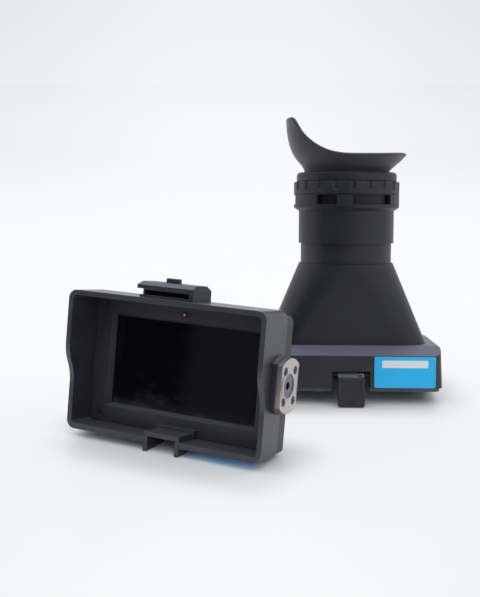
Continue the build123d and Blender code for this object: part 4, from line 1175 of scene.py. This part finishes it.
@dataclass(frozen=True)
class FloorFinish(Finish):
    """The pale sheet that the object stands on, with painted light that is brightest a little
    behind the object.

    Attributes:
        foot: The fixed point that its painted light goes by, in metres, below the camera.
        azimuth: The way that its painted light is brightest, in degrees to the left of straight
            ahead.
            It is the photo camera's.
        close: Distances from the foot point between which it stops being close by.
        far: Distances between which it becomes far off.
        sideways: Shares of the distance, off that way, between which painted shade sets in.
        side: How much painted shade darkens it to both sides, far off and close by.
        near: How much painted shade darkens it close by.
        steps: Where else painted shade darkens it, as distances from and to and by how much.
        uneven: How much its clouds darken it.
        glow: How much of it camera, metal and glass see as evenly lit, away from the object.
        contact: Distances from the object between which its own shadow ends.
    """

    foot: Point = (0.2346, -0.3764)
    azimuth: float = 28.87
    close: Point = (0.42, 0.6)
    far: Point = (1.0, 2.4)
    sideways: Point = (0.03, 0.26)
    side: Point = (0.085, 0.05)
    near: float = 0.012
    steps: tuple[Point3, ...] = ((0.9, 2.2, 0.02), (1.8, 9.0, 0.03), (6.0, 25.0, 0.02))
    uneven: float = 0.008
    glow: float = 0.72
    contact: Point = (0.003, 0.024)

    def shade(self, shading: Shading) -> Node:
        """Makes a smooth pale sheet with a faint unevenness and painted light that falls off away
        from its brightest place.

        Args:
            shading: The tree to make it in.

        Returns:
            The shader's node.
        """
        cloud = shading.noise(160.0)
        away, aside = shading.from_foot(self.foot, self.azimuth)
        close = 1.0 - away.ramp(*self.close)
        far_side, close_side = self.side
        side = aside.ramp(*self.sideways)
        # Painted shade: the sheet is darkened to the sides, close by and in steps further off.
        painted_falloff = side * (far_side * away.ramp(*self.far) + close_side * close)
        painted_falloff = painted_falloff + self.near * close + self.uneven * cloud
        for low, high, share in self.steps:
            painted_falloff = painted_falloff + share * away.ramp(low, high)
        tone = shading.blend(painted_falloff, self.colour, BLACK)
        sheet = shading.surface(
            {
                "Base Color": tone,
                "Roughness": self.roughness + 0.03 * (cloud - 0.5),
                "Specular IOR Level": 0.25,
            }
        )
        lit = shading.glowing(tone)
        feet = (shading.beside(foot).ramp(*self.contact) for foot in (MONITOR_FOOT, LOUPE_FOOT))
        share = self.glow * math.prod(feet, start=shading.seen())
        return shading.add(
            "ShaderNodeMixShader", inputs={0: share, 1: sheet.outputs[0], 2: lit.outputs[0]}
        )


FLOOR_SHEET = FloorFinish("floor sheet", (0.95, 0.957, 0.965), 0.3)


@dataclass(frozen=True)
class BackdropFinish(Finish):
    """The glowing sheet behind the floor, with a little painted shade to the sides and towards its
    top.

    Attributes:
        top: Its colour at the height where it stops changing.
        height: That height, in metres.
        floor: The floor, which it carries on from.
    """

    top: Colour = (0.862, 0.872, 0.893)
    height: float = 2.4
    floor: FloorFinish = FLOOR_SHEET

    def shade(self, shading: Shading) -> Node:
        """Makes the sheet.

        Args:
            shading: The tree to make it in.

        Returns:
            The shader's node.
        """
        split = shading.add("ShaderNodeSeparateXYZ", inputs={0: shading.place()})
        # Painted shade: the sheet is darkened towards its top and to the sides.
        up = Value(shading, split.outputs[2]).ramp(0.0, self.height)
        aside = shading.from_foot(self.floor.foot, self.floor.azimuth)[1]
        tone = shading.blend(up, self.colour, self.top)
        painted_falloff = self.floor.side[0] * aside.ramp(*self.floor.sideways)
        return shading.glowing(shading.blend(painted_falloff, tone, BLACK))


@dataclass(frozen=True)
class CardFinish(Finish):
    """Dark cloth, greyer on the right of a line.

    Attributes:
        line: Where the grey starts, left to right, in metres.
        grey: Its colour there.
    """

    line: float = -0.44
    grey: Colour = (0.13, 0.13, 0.15)

    def shade(self, shading: Shading) -> Node:
        """Makes the cloth.

        Args:
            shading: The tree to make it in.

        Returns:
            The shader's node.
        """
        split = shading.add("ShaderNodeSeparateXYZ", inputs={0: shading.place()})
        right = Value(shading, split.outputs[0]).ramp(self.line - 0.01, self.line + 0.01)
        return shading.surface(
            {
                "Base Color": shading.blend(right, self.colour, self.grey),
                "Roughness": self.roughness,
                "Specular IOR Level": 0.0,
            }
        )


@dataclass
class Lamp:
    """A distant soft box.

    Attributes:
        name: Its name.
        way: The way from the object to it.
        spread: How wide it looks, in degrees.
        strength: Its strength, in watts per square metre.
    """

    name: str
    way: Point3
    spread: float
    strength: float

    def hang(self) -> None:
        """Hangs the lamp and points it at the object."""
        light = bpy.data.lights.new(self.name, "SUN")
        light.angle = math.radians(self.spread)
        light.energy = self.strength
        lamp = bpy.data.objects.new(self.name, light)
        lamp.rotation_euler = Vector(self.way).to_track_quat("Z", "Y").to_euler()
        bpy.context.scene.collection.objects.link(lamp)


@dataclass(frozen=True)
class Cloth:
    """A dark cloth that only gloss sees.

    Attributes:
        place: Its middle, in metres.
        tilt: How far it is tilted up from lying flat, in degrees.
        half: Half its width and half its length, in metres.
    """

    place: Point3
    tilt: float
    half: Point

    def spread(self, shape: bmesh.types.BMesh) -> None:
        """Adds the cloth to a shape.

        Args:
            shape: The shape, in metres.
        """
        turned = Matrix.Translation(self.place) @ Matrix.Rotation(math.radians(self.tilt), 4, "X")
        sized = turned @ Matrix.Diagonal((*self.half, 1.0, 1.0))
        bmesh.ops.create_grid(shape, x_segments=1, y_segments=1, size=1.0, matrix=sized)


@dataclass
class Studio:
    """The pale floor, the sky, the soft boxes, and dark cloths where the photographer stands.

    Attributes:
        floor_radius: The floor's radius, in metres.
        backdrop_radius: The backdrop's radius, in metres.
        segments: Steps round the floor and the backdrop.
        light: Colour of the light that comes from all round.
        level: Strength of that light.
        backdrop: Colour that the camera, metal and glass see over the backdrop.
        cloths: The dark cloth behind the camera and the one on the floor.
        lamps: The soft boxes.
    """

    floor_radius: float = 60.0
    backdrop_radius: float = 27.0
    segments: int = 96
    light: Colour = (0.95, 0.975, 1.0)
    level: float = 0.6
    backdrop: Colour = (0.79, 0.8, 0.83)
    cloths: tuple[Cloth, ...] = (
        Cloth((0.0, -0.75, 0.56), 90.0, (0.896, 0.56)),
        Cloth((0.0, -0.55, 0.001), 0.0, (0.9, 0.2)),
    )
    lamps: tuple[Lamp, ...] = (
        Lamp("overhead", (-0.05, 0.05, 1.0), 120.0, 1.35),
        Lamp("right front", (0.95, -0.4, 0.4), 60.0, 0.35),
        Lamp("left rear", (-1.0, 0.6, 0.5), 60.0, 0.6),
    )

    def lay_floor(self) -> None:
        """Lays the floor."""
        shape = bmesh.new()
        bmesh.ops.create_circle(
            shape, cap_ends=True, segments=self.segments, radius=self.floor_radius
        )
        floor = self.set_out("floor", shape, FLOOR_SHEET)
        LOG.info("%s laid, %.0f m wide", floor.name, 2 * self.floor_radius)

    def set_out(
        self, name: str, shape: bmesh.types.BMesh, finish: Finish
    ) -> bpy.types.Object:
        """Puts a piece of the studio in its place.

        Args:
            name: The piece's name.
            shape: Its shape, in metres. It is freed.
            finish: Its finish.

        Returns:
            The piece.
        """
        mesh = bpy.data.meshes.new(name)
        shape.to_mesh(mesh)
        shape.free()
        mesh.materials.append(finish.material())
        piece = bpy.data.objects.new(name, mesh)
        bpy.context.scene.collection.objects.link(piece)
        return piece

    def hang_backdrop(self) -> None:
        """Hangs the backdrop round the object, where it lights nothing."""
        shape = bmesh.new()
        circle = bmesh.ops.create_circle(
            shape, segments=self.segments, radius=self.backdrop_radius
        )
        upper = draw_edges(shape, circle["verts"])
        bmesh.ops.translate(shape, verts=upper, vec=(0.0, 0.0, self.floor_radius))
        finish = BackdropFinish("backdrop sheet", (0.905, 0.912, 0.925), 1.0)
        sheet = self.set_out("backdrop", shape, finish)
        sheet.visible_diffuse = sheet.visible_shadow = False

    def stand_cloths(self) -> None:
        """Sets out the dark cloths, where only gloss sees them."""
        shape = bmesh.new()
        for cloth in self.cloths:
            cloth.spread(shape)
        finish = CardFinish("dark cloth", (0.014, 0.014, 0.028), 0.9)
        cloths = self.set_out("dark_cloth", shape, finish)
        cloths.visible_camera = cloths.visible_diffuse = cloths.visible_shadow = False

    def light_sky(self) -> None:
        """Lights the sky: soft light for the object, a pale colour for camera, metal and glass."""
        world = bpy.data.worlds.new("studio")
        bpy.context.scene.world = world
        shading = Shading(world)
        soft = shading.add(
            "ShaderNodeBackground", inputs={0: (*self.light, 1.0), "Strength": self.level}
        )
        pale = shading.add("ShaderNodeBackground", inputs={0: (*self.backdrop, 1.0)})
        both = shading.add(
            "ShaderNodeMixShader",
            inputs={0: shading.seen(), 1: soft.outputs[0], 2: pale.outputs[0]},
        )
        shading.add("ShaderNodeOutputWorld", inputs={"Surface": both.outputs[0]})

    def set_up(self) -> None:
        """Sets up the floor, the backdrop, the cloths, the sky and the lamps."""
        self.lay_floor()
        self.hang_backdrop()
        self.stand_cloths()
        self.light_sky()
        for lamp in self.lamps:
            lamp.hang()
        bpy.context.scene.view_settings.view_transform = "Standard"


@dataclass
class PhotoCamera:
    """The camera of the photograph.

    Attributes:
        place: Where it stands, in metres.
        azimuth: Which way it looks, in degrees to the left of straight ahead.
        dip: How far it looks down, in degrees.
        focal_pixels: Its focal length, in pixels of the photograph.
        long_side: The photograph's long side, in pixels.
        sensor: The long side of the sensor, in millimetres.
        nearest: How near it sees, in metres.
    """

    place: Point3 = (0.23457, -0.37639, 0.15603)
    azimuth: float = 28.87
    dip: float = 11.84
    focal_pixels: float = 1045.3
    long_side: int = 597
    sensor: float = 36.0
    nearest: float = 0.01

    def stand(self) -> None:
        """Stands the camera and makes it the scene's own."""
        data = bpy.data.cameras.new("photo camera")
        data.sensor_width = self.sensor
        data.lens = self.focal_pixels / self.long_side * self.sensor
        data.clip_start = self.nearest
        camera = bpy.data.objects.new("photo_camera", data)
        camera.location = self.place
        turn, dip = math.radians(self.azimuth), math.radians(self.dip)
        level = math.cos(dip)
        way = Vector((-math.sin(turn) * level, math.cos(turn) * level, -math.sin(dip)))
        camera.rotation_euler = way.to_track_quat("-Z", "Y").to_euler()
        bpy.context.scene.collection.objects.link(camera)
        bpy.context.scene.camera = camera


def main() -> None:
    """Builds and dresses the viewfinder, and sets up the studio round it."""
    logging.basicConfig(level=logging.INFO, format="%(name)s: %(message)s")
    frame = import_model()
    finishes = Finishes(frame["nodes"])
    Monitor(finishes).dress()
    Loupe(finishes).dress()
    Eyecup().build(finishes)
    Studio().set_up()
    PhotoCamera().stand()


if __name__ == "__main__":
    main()
